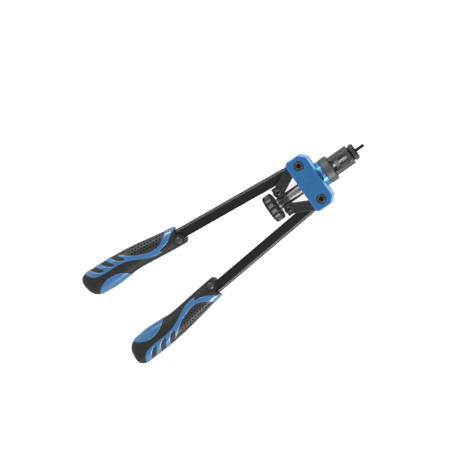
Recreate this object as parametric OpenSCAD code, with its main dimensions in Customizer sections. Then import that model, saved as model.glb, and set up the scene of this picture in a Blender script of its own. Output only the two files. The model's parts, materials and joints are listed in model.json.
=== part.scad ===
// Two-handed rivet nut tool: a head with two lever arms, toggle links that slide a
// crosshead, and a drawbar that pulls a threaded mandrel back through the nose.
// +X points out of the nose, +Z is the face seen in use, and the origin is the centre
// of the anvil's face, on the mandrel's axis.

/* [Head] */
// Width of the head across both arms
head_w = 70; // [66:1:80]
// Thickness of the head through both cheeks
head_t = 32; // [30:0.5:38]
// Distance from the pivot line to the head's front face
head_front = 14.9; // [13.5:0.1:18]
// Distance from the pivot line to the head's rear face
head_rear = 13.5; // [12:0.5:18]
// Thickness of each cheek
cheek_t = 6.2; // [5.5:0.1:7]
// Thickness of the wall that joins the cheeks at the front
front_wall = 5.5; // [4.5:0.5:6]
// Chamfer of the head's front corners, in plan
head_corner = 7; // [4:0.5:9]
// Radius of the head's rear corners, in plan
head_round = 5; // [3:0.5:7]
// Chamfer round the head's two faces
head_edge = 1; // [0.5:0.1:1.5]
// Distance of each arm's pivot from the axis
pivot_y = 23.5; // [22:0.5:25]
// Length of the round boss in front of the head
boss_len = 5.6; // [5:0.2:9]
// Radius of the round boss in front of the head
boss_r = 15.8; // [14:0.2:16]

/* [Pivot bolts] */
// Radius of the bolt's shoulder
pivot_r = 4; // [3.5:0.1:4.5]
// Radius of the bolt's head
pivot_head_r = 5; // [4.8:0.1:5.8]
// Depth of the recess that takes the bolt's head or its nut
pivot_recess = 4; // [3:0.1:4.4]
// Radius of the recess
pivot_recess_r = 6.2; // [6:0.1:6.8]
// Radius of the bolt's threaded end
pivot_thread_r = 3; // [2.5:0.1:3.2]
// Width across the flats of the nut
pivot_nut_w = 10; // [9:0.5:10.5]
// Width across the flats of the bolt's socket
pivot_socket_w = 5.5; // [4:0.5:6]
// Depth of the bolt's socket
pivot_socket_d = 2.6; // [2:0.1:3]
// Distance of the bolt's head and its nut below the cheek's face
pivot_sink = 0.6; // [0.2:0.1:0.8]
// Radius of the spacer washers beside the arms
spacer_r = 5.2; // [5:0.1:5.6]

/* [Nose] */
// Length of the anvil in front of the nose housing
anvil_len = 8; // [6:0.5:10]
// Width across the flats of the anvil
anvil_w = 18; // [16:0.5:20]
// Length of the anvil's hexagon
anvil_hex_len = 6.6; // [5:0.2:7]
// Chamfer on the anvil's hexagon
anvil_edge = 1.6; // [0.8:0.1:2]
// Length of the nose housing in front of the lock ring
housing_len = 25.9; // [25:0.1:30]
// Width across the flats of the nose housing
housing_w = 24.5; // [22:0.5:26]
// Radius of the nose housing's round corners
housing_r = 14; // [13:0.2:15]
// Radius of the hollow inside the nose housing
cavity_r = 9; // [8:0.1:9.4]
// Thickness of the nose housing's front wall
nose_wall = 3.4; // [3:0.1:4]
// Width of the window in the nose housing
window_w = 16.5; // [12:0.5:17]
// Distance of the window from the nose housing's front
window_wall = 4.5; // [3.5:0.1:6]
// Radius of the thread that joins the nose to the head
nose_thread_r = 10; // [9.8:0.1:11]
// Length of the lock ring
ring_len = 11; // [9:0.2:13]
// Radius of the lock ring
ring_r = 16.2; // [15:0.2:17]
// Chamfer on the lock ring's edges
ring_edge = 0.8; // [0.4:0.1:1.5]

/* [Mandrel] */
// Radius of the mandrel's thread
mandrel_r = 2; // [1.8:0.05:2.1]
// Length of the mandrel in front of the anvil
mandrel_reach = 11.5; // [8:0.5:14]
// Radius of the mandrel's shank inside the nose
shank_r = 2.6; // [2.4:0.1:2.8]
// Width across the flats of the mandrel's drive hexagon
drive_w = 9; // [8:0.5:10]
// Length of the drive hexagon
drive_len = 5; // [4:0.5:7]

/* [Drawbar] */
// Radius of the drawbar between the crosshead and the nose
drawbar_r = 7; // [6.5:0.1:7.2]
// Radius of the drawbar's journal in the crosshead
journal_r = 5; // [4.5:0.1:5.5]
// Radius of the drawbar's rear end in the knob
stub_r = 4; // [3.5:0.1:4.4]
// Outer radius of the guide bush in the head
bush_r = 9.2; // [8.6:0.1:9.6]

/* [Crosshead] */
// Distance of the link screws behind the pivot line
crosshead_back = 38.4; // [37:0.2:42]
// Distance of each link screw from the axis
link_screw_y = 11.8; // [11.4:0.1:13]
// Depth of the crosshead in front of its screws
crosshead_front = 6; // [5:0.5:7]
// Depth of the crosshead behind its screws
crosshead_rear = 5.6; // [4.5:0.1:6]
// Gap between the crosshead's end and the closed arm
arm_stop_gap = 0.4; // [0.3:0.1:1]
// Radius of the crosshead's hub round the journal
hub_r = 8; // [7.6:0.1:8.2]
// Radius of a link screw's shank
link_screw_r = 2.5; // [2.2:0.1:2.8]
// Radius of a link screw's head
link_head_r = 4.75; // [4.4:0.05:5.2]
// Height of a link screw's head
link_head_h = 2.8; // [2.2:0.1:3.2]
// Width across the flats of a link screw's nut
link_nut_w = 8; // [7.5:0.5:9]
// Width across the flats of a link screw's socket
link_socket_w = 3.6; // [3:0.1:4]
// Depth of a link screw's socket
link_socket_d = 1.8; // [1.4:0.1:2]

/* [Toggle links] */
// Radius of a link's rear end, at the crosshead
link_end_r = 6.2; // [5.2:0.1:6.4]
// Radius of a link's front end, at the arm
link_toe_r = 5.8; // [4.8:0.1:5.8]
// Thickness of a link
link_t = 3.2; // [2.4:0.1:3.4]
// Distance from an arm's pivot to its toggle pin
toggle_back = 12.05; // [11.9:0.05:13]
// Radius of a toggle pin
toggle_r = 2.5; // [2.2:0.1:2.6]
// Play between a toggle pin and its link
toggle_play = 0.95; // [0.9:0.05:1.1]

/* [Arms] */
// Angle of each arm to the axis when the tool is closed
arm_angle = 5.4; // [4.5:0.1:7]
// Width of an arm in plan
arm_w = 14; // [12:0.2:15]
// Thickness of an arm
arm_t = 12.4; // [11.5:0.1:12.6]
// Radius of an arm's long edges
arm_round = 2.2; // [1:0.1:3]
// Length of an arm from its pivot to its end inside the grip
arm_len = 262; // [250:1:270]
// Radius of the eye round an arm's pivot
eye_r = 8; // [7.4:0.1:8.4]

/* [Grips] */
// Distance from an arm's pivot to its grip's mouth
grip_start = 169; // [160:1:176]
// Length of a grip
grip_len = 128.5; // [120:0.5:140]
// Reach of a grip's palm side from the arm's centre line, at the mouth
palm_front = 11; // [10.5:0.5:14]
// Reach of a grip's palm side at its widest
palm_wide = 16.8; // [15:0.2:20]
// How far the palm side draws in again at the end
palm_drop = 1.7; // [0:0.1:3]
// Reach of a grip's finger side, at the mouth
finger_front = 13.4; // [12.6:0.2:15]
// Reach of a grip's finger side at the waist
finger_waist = 12.4; // [11.4:0.2:13.4]
// Reach of a grip's finger side at the belly
finger_belly = 17; // [14:0.2:19]
// Half of a grip's thickness at the mouth
grip_thin = 11.4; // [10.8:0.2:12.6]
// Half of a grip's thickness at the belly
grip_thick = 13.4; // [12.6:0.2:15]
// Length of the rounding at a grip's end
grip_end = 16; // [10:0.5:20]
// Depth of the coloured inlays in a grip
inlay_t = 1.8; // [1.4:0.1:2.2]
// Distance of the grip rivet behind the mouth
rivet_in = 0.2; // [0:0.1:4]
// Radius of the grip rivet's shank
rivet_r = 2.4; // [2:0.1:2.6]
// Radius of the grip rivet's domed heads
rivet_head_r = 4.9; // [4.4:0.1:5.2]
// Height of the grip rivet's domed heads
rivet_dome = 2.2; // [1.6:0.1:2.6]
// Radius of the ear that carries the rivet
ear_r = 7.4; // [6.6:0.1:8]
// Width of the groove round each domed head
rivet_groove = 0.9; // [0.4:0.1:1.2]
// Width of the rim round that groove
rivet_rim = 0.8; // [0.6:0.1:1.2]
// Half of the ear's thickness
ear_half = 10.4; // [9.8:0.1:10.8]
// Reach of the ear's toe in front of the rivet
ear_toe = 11; // [8:0.2:12]
// Radius of the ear's toe
ear_toe_r = 5; // [4:0.1:6]
// Reach of the lip in front of the mouth, on the palm side
lip_reach = 2.6; // [0.5:0.1:4]

/* [Knob] */
// Radius of the knob
knob_r = 17.2; // [15:0.2:18]
// Length of the knob
knob_len = 12.5; // [11:0.5:14]
// Number of flutes round the knob
knob_flutes = 14; // [10:1:18]
// Radius of a flute
flute_r = 2.6; // [2:0.1:3]
// Chamfer on the knob's edges
knob_edge = 1.7; // [1:0.1:2.5]
// Thickness of the thrust washer in front of the knob
thrust_t = 3.4; // [2:0.1:4]
// Radius of the thrust washer
thrust_r = 6.8; // [6.2:0.1:7.4]
// Radius of the head of the knob's screw
screw_head_r = 3.6; // [3.2:0.1:4]
// Radius of the shank of the knob's screw
screw_shank_r = 2; // [1.6:0.1:2.4]
// Length of the knob's screw in the drawbar
screw_depth = 8; // [6:0.5:10]
// Width across the flats of the socket in the knob's screw
screw_socket_w = 3; // [2.5:0.5:3.5]
// Thickness of the knob's rear web
knob_web = 3; // [2.6:0.2:4]

/* [Fits] */
// Radial clearance of a running fit
run_fit = 0.05; // [0.03:0.01:0.08]
// Gap between flat faces that move past each other
face_gap = 0.15; // [0.1:0.05:0.2]
// Clearance of moulded pieces and of pieces that stay put
seat_gap = 0.05; // [0.03:0.01:0.1]
// Radial clearance of a rod that passes through without touching
free_gap = 0.2; // [0.15:0.05:0.4]

/* [Hidden] */
$fn = 48;
upper = 1;
lower = -1;
over = 1;

// Stations along the axis, from the anvil's face backwards
housing_x = -anvil_len;
ring_x = housing_x - housing_len;
boss_x = ring_x - ring_len;
head_x = boss_x - boss_len;
pivot_x = head_x - head_front;
head_back_x = pivot_x - head_rear;
wall_x = head_x - front_wall;
link_screw_x = pivot_x - crosshead_back;
crosshead_x0 = link_screw_x - crosshead_rear;
crosshead_x1 = link_screw_x + crosshead_front;
thrust_x = crosshead_x0 - face_gap - thrust_t;
knob_x1 = thrust_x;
knob_x0 = knob_x1 - knob_len;

// Levels through the head's thickness
slot_half = head_t / 2 - cheek_t;
link_z = arm_t / 2 + face_gap;
recess_z = head_t / 2 - pivot_recess;
toggle_half = slot_half - face_gap;
head_z = link_z + link_t + face_gap;

// Half the crosshead's width: it fits between the closed arms at its front face
arm_spread = (crosshead_back - crosshead_front) * tan(arm_angle);
crosshead_half = pivot_y + arm_spread - arm_w / 2 / cos(arm_angle) - arm_stop_gap;

// The upper link at rest, from its screw to the arm's toggle pin
toggle_pos = [pivot_x - toggle_back * cos(arm_angle), pivot_y + toggle_back * sin(arm_angle)];
link_vector = toggle_pos - [link_screw_x, link_screw_y];
link_len = norm(link_vector);
link_angle = atan2(link_vector.y, link_vector.x);

// Stations of the mandrel and the drawbar's nose end
drawbar_lead = 1.2;
drawbar_tip = ring_x + drawbar_lead;
neck_len = 3.6;
neck_r = 3.2;
neck_depth = 7;
drive_x = drawbar_tip + neck_len;
shank_x = drive_x + drive_len;

// The mandrel's slim core runs in the anvil's throat over the whole stroke
stroke_room = 9;
throat_len = 3;
throat_x = -throat_len;
core_x = throat_x - stroke_room;
core_r = mandrel_r - free_gap;
anvil_tail_r = 5.6;
anvil_groove_r = 8.8;
nose_tail_gap = 0.6;
nose_back = 2;
nose_tail = boss_len - nose_tail_gap;
flute_out = 0.4 * flute_r;
screw_proud = 0.6;
washer_edge = 0.3;

// A cylinder along the tool's axis
module rod(x0, x1, r) {
    translate([x0, 0, 0]) rotate([0, 90, 0]) cylinder(h = x1 - x0, r = r);
}

// A cylinder upright through the tool
module post(z0, z1, r) {
    translate([0, 0, z0]) cylinder(h = z1 - z0, r = r);
}

// A hexagonal prism, by its width across the flats
module hexagon(w, h) {
    cylinder(h = h, r = w / 2 / cos(30), $fn = 6);
}

// A ring along the axis with chamfered outer edges
module chamfered_ring(x0, x1, r, bore, edge) {
    translate([x0, 0, 0]) rotate([0, 90, 0]) rotate_extrude() polygon([
        [bore, 0], [r - edge, 0], [r, edge], [r, x1 - x0 - edge], [r - edge, x1 - x0], [bore, x1 - x0]
    ]);
}

// A domed head that stands on the ground plane
module dome(r, h) intersection() {
    ball_r = (r * r + h * h) / 2 / h;
    translate([0, 0, h - ball_r]) sphere(ball_r);
    cylinder(h = h, r = r);
}

// Both arm pivots
module at_pivots() {
    for (side = [lower, upper]) translate([pivot_x, side * pivot_y, 0]) children();
}

// Both link screws
module at_link_screws() {
    for (side = [lower, upper]) translate([link_screw_x, side * link_screw_y, 0]) children();
}

// One side of the tool: what is drawn for the upper side, or its mirror image
module on_side(side) {
    if (side == upper) children();
    else mirror([0, 1, 0]) children();
}

// The frame of one arm: x runs from its pivot to its grip, y points away from the other arm
module arm_frame(side) {
    on_side(side) translate([pivot_x, pivot_y, 0]) rotate(180 - arm_angle) mirror([0, 1, 0]) children();
}

// Plan of the head: chamfered corners at the front, round ones at the rear
module head_plan(inset) {
    front = head_front - inset;
    rear = head_rear - inset;
    half = head_w / 2 - inset;
    polygon([
        [front, half - head_corner], [front - head_corner, half],
        [-rear + head_round, half], [-rear, half - head_round],
        [-rear, -half + head_round], [-rear + head_round, -half],
        [front - head_corner, -half], [front, -half + head_corner]
    ]);
    for (side = [lower, upper])
        translate([-rear + head_round, side * (half - head_round)]) circle(head_round, $fn = 32);
}

module head_block() color("royalblue") difference() {
    union() {
        translate([pivot_x, 0, 0]) hull() {
            translate([0, 0, -head_t / 2]) linear_extrude(head_t) head_plan(head_edge);
            translate([0, 0, head_edge - head_t / 2]) linear_extrude(head_t - 2 * head_edge) head_plan(0);
        }
        rod(head_x - over, boss_x, boss_r);
    }
    translate([head_back_x - over, -head_w, -slot_half])
        cube([wall_x - head_back_x + over, 2 * head_w, 2 * slot_half]);
    rod(wall_x - over, head_x + over, bush_r + seat_gap);
    rod(boss_x - nose_tail - face_gap, boss_x + over, nose_thread_r + run_fit);
    at_pivots() {
        post(-head_t, head_t, pivot_r + run_fit);
        post(recess_z, head_t, pivot_recess_r);
        post(-head_t, -recess_z, pivot_recess_r);
    }
}

module guide_bush() color("goldenrod") difference() {
    rod(wall_x, boss_x - nose_tail - 2 * face_gap, bush_r);
    rod(wall_x - over, head_x + over, drawbar_r + run_fit);
}

module pivot_bolts() color("dimgray") at_pivots() difference() {
    union() {
        post(recess_z, head_t / 2 - pivot_sink, pivot_head_r);
        post(-recess_z, recess_z, pivot_r);
        post(pivot_sink / 2 - head_t / 2, -recess_z, pivot_thread_r);
    }
    translate([0, 0, head_t / 2 - pivot_sink - pivot_socket_d]) hexagon(pivot_socket_w, pivot_recess);
}

module pivot_nuts() color("dimgray") at_pivots() difference() {
    translate([0, 0, pivot_sink - head_t / 2]) hexagon(pivot_nut_w, pivot_recess - pivot_sink);
    post(-head_t, 0, pivot_thread_r + seat_gap);
}

module pivot_spacers() color("silver") at_pivots() for (side = [lower, upper]) {
    z = side * (arm_t / 2 + slot_half) / 2;
    half = (slot_half - arm_t / 2) / 2;
    difference() {
        post(z - half + (side == upper ? face_gap : 0), z + half - (side == lower ? face_gap : 0), spacer_r);
        post(-head_t, head_t, pivot_r + seat_gap);
    }
}

module lock_ring() color("dimgray") {
    chamfered_ring(boss_x + face_gap, ring_x, ring_r, nose_thread_r + run_fit, ring_edge);
}

module nose_housing() color("dimgray") difference() {
    union() {
        intersection() {
            rod(ring_x + face_gap, housing_x, housing_r);
            translate([ring_x, -housing_w / 2, -housing_w / 2]) cube([housing_len, housing_w, housing_w]);
        }
        rod(boss_x - nose_tail, ring_x + over, nose_thread_r);
    }
    rod(boss_x - nose_tail - over, ring_x + nose_back + over, drawbar_r + free_gap);
    rod(ring_x + nose_back, housing_x - nose_wall, cavity_r);
    rod(ring_x, housing_x + over, anvil_tail_r + seat_gap);
    translate([ring_x, -window_w / 2, 0]) cube([housing_len - window_wall, window_w, housing_r]);
}

module anvil() color("dimgray") difference() {
    union() {
        rod(housing_x - nose_wall, housing_x + over, anvil_tail_r);
        rod(housing_x, 0, anvil_groove_r);
        intersection() {
            translate([-anvil_hex_len, 0, 0]) rotate([0, 90, 0]) rotate(30) hexagon(anvil_w, anvil_hex_len);
            chamfered_ring(-anvil_hex_len, 0, anvil_w / 2 / cos(30), 0, anvil_edge);
        }
    }
    rod(-anvil_len - nose_wall - over, throat_x, shank_r + 2 * free_gap);
    rod(throat_x - over, over, mandrel_r + free_gap);
}

module crosshead() color("dimgray") difference() {
    union() {
        translate([crosshead_x0, -crosshead_half, -arm_t / 2])
            cube([crosshead_x1 - crosshead_x0, 2 * crosshead_half, arm_t]);
        rod(crosshead_x0, crosshead_x1, hub_r);
    }
    rod(crosshead_x0 - over, crosshead_x1 + over, journal_r + run_fit);
    at_link_screws() post(-head_t, head_t, link_screw_r + seat_gap);
}

module link_screws() color("dimgray") at_link_screws() difference() {
    union() {
        post(-head_z - link_head_h, head_z, link_screw_r);
        translate([0, 0, head_z]) dome(link_head_r, link_head_h);
    }
    translate([0, 0, head_z + link_head_h - link_socket_d]) hexagon(link_socket_w, link_head_h);
}

module link_nuts() color("dimgray") at_link_screws() difference() {
    translate([0, 0, -head_z - link_head_h]) hexagon(link_nut_w, link_head_h);
    post(-head_t, 0, link_screw_r + seat_gap);
}

// Plan of one link, from its screw to its loose pivot on the arm
module link_plan() difference() {
    union() {
        circle(link_end_r);
        translate([link_len, 0]) circle(link_toe_r);
        polygon([[0, link_end_r], [0, -link_end_r], [link_len, -link_toe_r], [link_len, link_toe_r]]);
    }
    circle(link_screw_r + run_fit);
    translate([link_len, 0]) circle(toggle_r + toggle_play);
}

// The two link plates of one side, over and under the arm
module links(side) color("dimgray") on_side(side) translate([link_screw_x, link_screw_y, 0])
    rotate(link_angle) for (z = [link_z, -link_z - link_t]) translate([0, 0, z]) linear_extrude(link_t) link_plan();

module drawbar() color("silver") difference() {
    union() {
        rod(crosshead_x1 + face_gap, drawbar_tip, drawbar_r);
        rod(knob_x1, crosshead_x1 + face_gap + over, journal_r);
        rod(knob_x0 + knob_web + seat_gap, knob_x1 + over, stub_r);
    }
    rod(drawbar_tip - neck_depth - seat_gap, drawbar_tip + over, neck_r + seat_gap);
    rod(knob_x0, knob_x0 + knob_web + screw_depth, screw_shank_r + seat_gap);
}

module mandrel() color("silver") {
    rod(drawbar_tip - neck_depth, drive_x + over, neck_r);
    translate([drive_x, 0, 0]) rotate([0, 90, 0]) rotate(30) hexagon(drive_w, drive_len);
    rod(shank_x - over, core_x, shank_r);
    rod(core_x - over, 0, core_r);
    rod(0, mandrel_reach - mandrel_r / 2, mandrel_r);
    translate([mandrel_reach - mandrel_r / 2, 0, 0]) rotate([0, 90, 0])
        cylinder(h = mandrel_r / 2, r1 = mandrel_r, r2 = mandrel_r / 2);
}

module thrust_washer() color("silver") {
    chamfered_ring(thrust_x, thrust_x + thrust_t, thrust_r, journal_r + seat_gap, washer_edge);
}

module knob() color("dimgray") difference() {
    chamfered_ring(knob_x0, knob_x1 - seat_gap, knob_r, screw_shank_r + seat_gap, knob_edge);
    rod(knob_x0 + knob_web, knob_x1 + over, stub_r + seat_gap);
    rod(knob_x0 - over, knob_x0 + knob_web / 2, screw_head_r + free_gap);
    for (i = [0 : knob_flutes - 1]) rotate([i * 360 / knob_flutes, 0, 0])
        translate([0, 0, knob_r + flute_out]) rod(knob_x0 - over, knob_x1 + over, flute_r);
}

module knob_screw() color("dimgray") difference() {
    union() {
        rod(knob_x0 - screw_proud, knob_x0 + knob_web / 2, screw_head_r);
        rod(knob_x0, knob_x0 + knob_web + screw_depth - over, screw_shank_r);
    }
    translate([knob_x0 - over, 0, 0]) rotate([0, 90, 0]) hexagon(screw_socket_w, over + knob_web / 4);
}

// Cross-section of an arm: a bar with round edges
module arm_section() {
    square([arm_t - 2 * arm_round, arm_w], center = true);
    square([arm_t, arm_w - 2 * arm_round], center = true);
    for (a = [lower, upper], b = [lower, upper])
        translate([a * (arm_t / 2 - arm_round), b * (arm_w / 2 - arm_round)]) circle(arm_round);
}

// Place of the grip's rivet in an arm's frame: in a half-round notch on the inner edge
rivet_pos = [grip_start + rivet_in, -arm_w / 2 + 0.3 * rivet_r];

module arm(side) color("dimgray") arm_frame(side) difference() {
    union() {
        rotate([0, 90, 0]) linear_extrude(arm_len) arm_section();
        post(-arm_t / 2, arm_t / 2, eye_r);
    }
    post(-arm_t, arm_t, pivot_r + run_fit);
    translate([toggle_back, 0, 0]) post(-arm_t, arm_t, toggle_r + seat_gap);
    translate(rivet_pos) post(-arm_t, arm_t, rivet_r + seat_gap);
}

module toggle_pin(side) color("silver") arm_frame(side)
    translate([toggle_back, 0, 0]) post(-toggle_half, toggle_half, toggle_r);

// Smooth step from 0 at a to 1 at b
function ramp(t, a, b) = let (u = min(1, max(0, (t - a) / (b - a)))) u * u * (3 - 2 * u);

// A power that keeps the sign
function signed_power(v, p) = sign(v) * pow(abs(v), p);

// A smooth curve through a few points, by cubic segments
function spline(points, steps = 4) = let (last = len(points) - 1) concat(
    [for (i = [0 : last - 1], k = [0 : steps - 1]) let (
        u = k / steps,
        p0 = points[max(0, i - 1)], p1 = points[i], p2 = points[i + 1], p3 = points[min(last, i + 2)]
    ) 0.5 * (2 * p1 + (p2 - p0) * u + (2 * p0 - 5 * p1 + 4 * p2 - p3) * u * u
        + (3 * p1 - p0 - 3 * p2 + p3) * u * u * u)],
    [points[last]]
);

// Reach of a grip's palm side and finger side, and half its thickness, at t from the mouth
function palm(t) = palm_front + (palm_wide - palm_front) * ramp(t, -0.23 * grip_len, 0.575 * grip_len)
    - palm_drop * ramp(t, 0.65 * grip_len, grip_len);
function finger(t) = finger_front - (finger_front - finger_waist) * ramp(t, 0.05 * grip_len, 0.42 * grip_len)
    + (finger_belly - finger_waist) * ramp(t, 0.43 * grip_len, 0.77 * grip_len);
function grip_half(t) = grip_thin + (grip_thick - grip_thin) * ramp(t, 0, 0.6 * grip_len);

// How far the sections have drawn in over the round end
function end_factor(t) = let (u = max(0, (t - grip_len + grip_end) / grip_end)) pow(max(0, 1 - pow(u, 2.6)), 1 / 2.6);

// The end and the mouth slant, so that the palm side is longer
end_slant = 0.2;
mouth_slant = 0.22;
function slant(t) = end_slant * ramp(t, 0.55 * grip_len, grip_len) - mouth_slant * (1 - ramp(t, 0, 0.25 * grip_len));

grip_sides = 28;
grip_rings = 13;
end_rings = 6;
grip_lead = ear_toe + ear_toe_r;
grip_stations = concat(
    [for (i = [0 : grip_rings - 1]) -grip_lead + (grip_len - grip_end + grip_lead) * i / (grip_rings - 1)],
    [for (i = [1 : end_rings]) grip_len - grip_end + grip_end * sin(88 * i / end_rings)]
);

// One section of a grip, drawn in by inset
function grip_ring(t, inset) = let (
    e = end_factor(t), p = palm(t), f = finger(t),
    mid = (p - f) / 2, half = max(0.5, (p + f) / 2 * e - inset), thick = max(0.5, grip_half(t) * e - inset)
) [for (i = [0 : grip_sides - 1]) let (
    a = 360 * i / grip_sides, n = mid + half * signed_power(cos(a), 0.76)
) [grip_start + t + slant(t) * n - inset * ramp(t, 0.5 * grip_len, grip_len), n, thick * signed_power(sin(a), 0.76)]];

// The whole grip as one loft through its sections
module grip_loft(inset) {
    rings = len(grip_stations);
    points = [for (t = grip_stations) each grip_ring(t, inset)];
    first = [for (i = [0 : grip_sides - 1]) i];
    last = [for (i = [grip_sides - 1 : -1 : 0]) (rings - 1) * grip_sides + i];
    sides = [for (r = [0 : rings - 2], i = [0 : grip_sides - 1]) let (
        a = r * grip_sides + i, b = r * grip_sides + (i + 1) % grip_sides
    ) each [[a, a + grip_sides, b], [b, a + grip_sides, b + grip_sides]]];
    polyhedron(points = points, faces = concat([first], [last], sides));
}

// Edges of the wave inlay and of the belly inlay, from the mouth, in the arm's frame
wave_top = [
    [9.4, 26], [9.6, 13.4], [12.4, 9], [16.6, 5], [21.6, 1.4], [27, -0.8], [33, -1.4], [39, -0.8],
    [45, 0.6], [51, 2.4], [57, 5], [62, 7.8], [66.6, 10.9], [70.5, 13.4], [74.6, 14.8], [76, 26]
];
wave_bottom = [
    [121, 26], [120.4, 15.6], [118.6, 11.6], [115.6, 7.6], [111.6, 4.8], [106, 3.4], [99, 3],
    [90, 3.3], [80, 3.6], [73, 3.2], [66, 1.8], [60, 0], [54.6, -2.2], [44.6, -6.2], [39.6, -7.8],
    [34.6, -8.8], [29.6, -9], [25.4, -8.6]
];
wave_spur = [
    [25.4, -8.6], [28.6, -6], [24.6, -5.6], [19.6, -4.6], [14.6, -2.6], [9.6, 0.6], [5, 4.4],
    [1.6, 7], [-2, 7.6], [-6, 7.6], [-6, 26]
];
belly_edge = [
    [69, -26], [70, -13.4], [72.6, -10.8], [76.6, -8.2], [81.6, -5.8], [87.6, -4.4], [93.6, -4],
    [99.6, -4.6], [105, -6.6], [110, -9.5], [114, -13.2], [116, -26]
];
stripe_first = 68;
stripe_pitch = 14.7;
stripe_count = 3;
stripe_shape = [
    [0, 7], [0.8, 5.8], [4, 6.8], [8, 9.3], [11, 12.2], [13, 15.4], [13.6, 26], [6.6, 26],
    [6, 15.6], [4.2, 12.2], [1.8, 9]
];

// Plan of the coloured inlays of one grip
module inlay_plan() translate([grip_start, 0]) {
    difference() {
        polygon(concat(spline(wave_top, 3), spline(wave_bottom, 3), spline(wave_spur, 3)));
        for (i = [0 : stripe_count - 1]) translate([stripe_first + i * stripe_pitch, 0]) polygon(stripe_shape);
    }
    polygon(spline(belly_edge, 3));
}

// Plan of a grip: all that lies behind its mouth, and the ear with its toe on the finger side
mouth_lip = [[-lip_reach, 2 * palm_wide], [-lip_reach, arm_w / 2 + 0.4], [0, arm_w / 2], [rivet_in, 0]];
module grip_plan() {
    translate([grip_start, 0]) polygon(concat(
        mouth_lip, [[0, -2 * palm_wide], [2 * grip_len, -2 * palm_wide], [2 * grip_len, 2 * palm_wide]]
    ));
    hull() {
        translate(rivet_pos) circle(ear_r, $fn = 32);
        translate(rivet_pos + [ear_toe_r - ear_toe, ear_toe_r - ear_r])
            circle(ear_toe_r, $fn = 32);
    }
}

// A grip without its inlays, its channel and its rivet hole
module grip_body() intersection() {
    grip_loft(0);
    translate([0, 0, -head_t]) linear_extrude(2 * head_t) grip_plan();
}

module grip(side) color("dimgray") arm_frame(side) difference() {
    union() {
        grip_body();
        translate(rivet_pos) post(-ear_half, ear_half, rivet_head_r + rivet_groove + rivet_rim);
    }
    difference() {
        translate([0, 0, -head_t]) linear_extrude(2 * head_t) inlay_plan();
        grip_loft(inlay_t + seat_gap);
    }
    translate([grip_start - 2 * grip_lead, -arm_w / 2 - seat_gap, -arm_t / 2 - seat_gap])
        cube([arm_len - grip_start + 2 * grip_lead + seat_gap, arm_w + 2 * seat_gap, arm_t + 2 * seat_gap]);
    translate(rivet_pos) {
        post(-head_t, head_t, rivet_r + seat_gap);
        post(ear_half, head_t, rivet_head_r + rivet_groove);
        post(-head_t, -ear_half, rivet_head_r + rivet_groove);
    }
}

module grip_inlays(side) color("cornflowerblue") arm_frame(side) difference() {
    intersection() {
        grip_body();
        translate([0, 0, -head_t]) linear_extrude(2 * head_t) inlay_plan();
    }
    grip_loft(inlay_t);
}

module grip_rivet(side) color("dimgray") arm_frame(side) translate(rivet_pos) {
    post(-ear_half, ear_half, rivet_r);
    for (flip = [0, 180]) rotate([flip, 0, 0]) translate([0, 0, ear_half]) dome(rivet_head_r, rivet_dome);
}

head_block();
guide_bush();
pivot_bolts();
pivot_nuts();
pivot_spacers();
lock_ring();
nose_housing();
anvil();
crosshead();
link_screws();
link_nuts();
links(upper);  // upper_links
links(lower);  // lower_links
drawbar();
mandrel();
thrust_washer();
knob();
knob_screw();
arm(upper);  // upper_arm
toggle_pin(upper);  // upper_toggle_pin
grip(upper);  // upper_grip
grip_inlays(upper);  // upper_grip_inlays
grip_rivet(upper);  // upper_grip_rivet
arm(lower);  // lower_arm
toggle_pin(lower);  // lower_toggle_pin
grip(lower);  // lower_grip
grip_inlays(lower);  // lower_grip_inlays
grip_rivet(lower);  // lower_grip_rivet
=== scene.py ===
"""Looks of a long-armed rivet nut tool, modelled round its frame.

Each operator dresses one group of pieces. It models them, or rounds the edges of a copy of the
solid that the frame gives, paints them, and lets them ride on their body.
"""

import json
import math
from typing import NamedTuple

import bmesh
import bpy
from bpy.props import FloatProperty, FloatVectorProperty, IntProperty, PointerProperty
from mathutils import Matrix, Vector


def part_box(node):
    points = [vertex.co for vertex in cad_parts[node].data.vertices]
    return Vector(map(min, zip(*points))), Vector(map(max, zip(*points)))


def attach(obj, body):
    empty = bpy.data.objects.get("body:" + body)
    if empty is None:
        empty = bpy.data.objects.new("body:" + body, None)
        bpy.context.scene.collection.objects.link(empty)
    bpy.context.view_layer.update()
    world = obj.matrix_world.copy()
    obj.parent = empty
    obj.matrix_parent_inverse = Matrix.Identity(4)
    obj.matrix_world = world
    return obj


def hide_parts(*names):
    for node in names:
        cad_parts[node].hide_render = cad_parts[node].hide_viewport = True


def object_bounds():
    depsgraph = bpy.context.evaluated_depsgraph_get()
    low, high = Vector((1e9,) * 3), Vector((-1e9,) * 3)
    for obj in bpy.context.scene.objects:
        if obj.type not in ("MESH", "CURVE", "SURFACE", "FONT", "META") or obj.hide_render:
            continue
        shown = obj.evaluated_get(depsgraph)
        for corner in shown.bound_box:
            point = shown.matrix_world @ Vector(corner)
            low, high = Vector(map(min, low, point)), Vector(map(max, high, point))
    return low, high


bl_info = {
    "name": "Rivet Nut Tool",
    "version": (1, 0, 0),
    "blender": (4, 5, 0),
    "location": "View3D > Sidebar > Rivet Tool",
    "description": "Models the looks of a long-armed rivet nut tool",
    "category": "Object",
}

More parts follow.
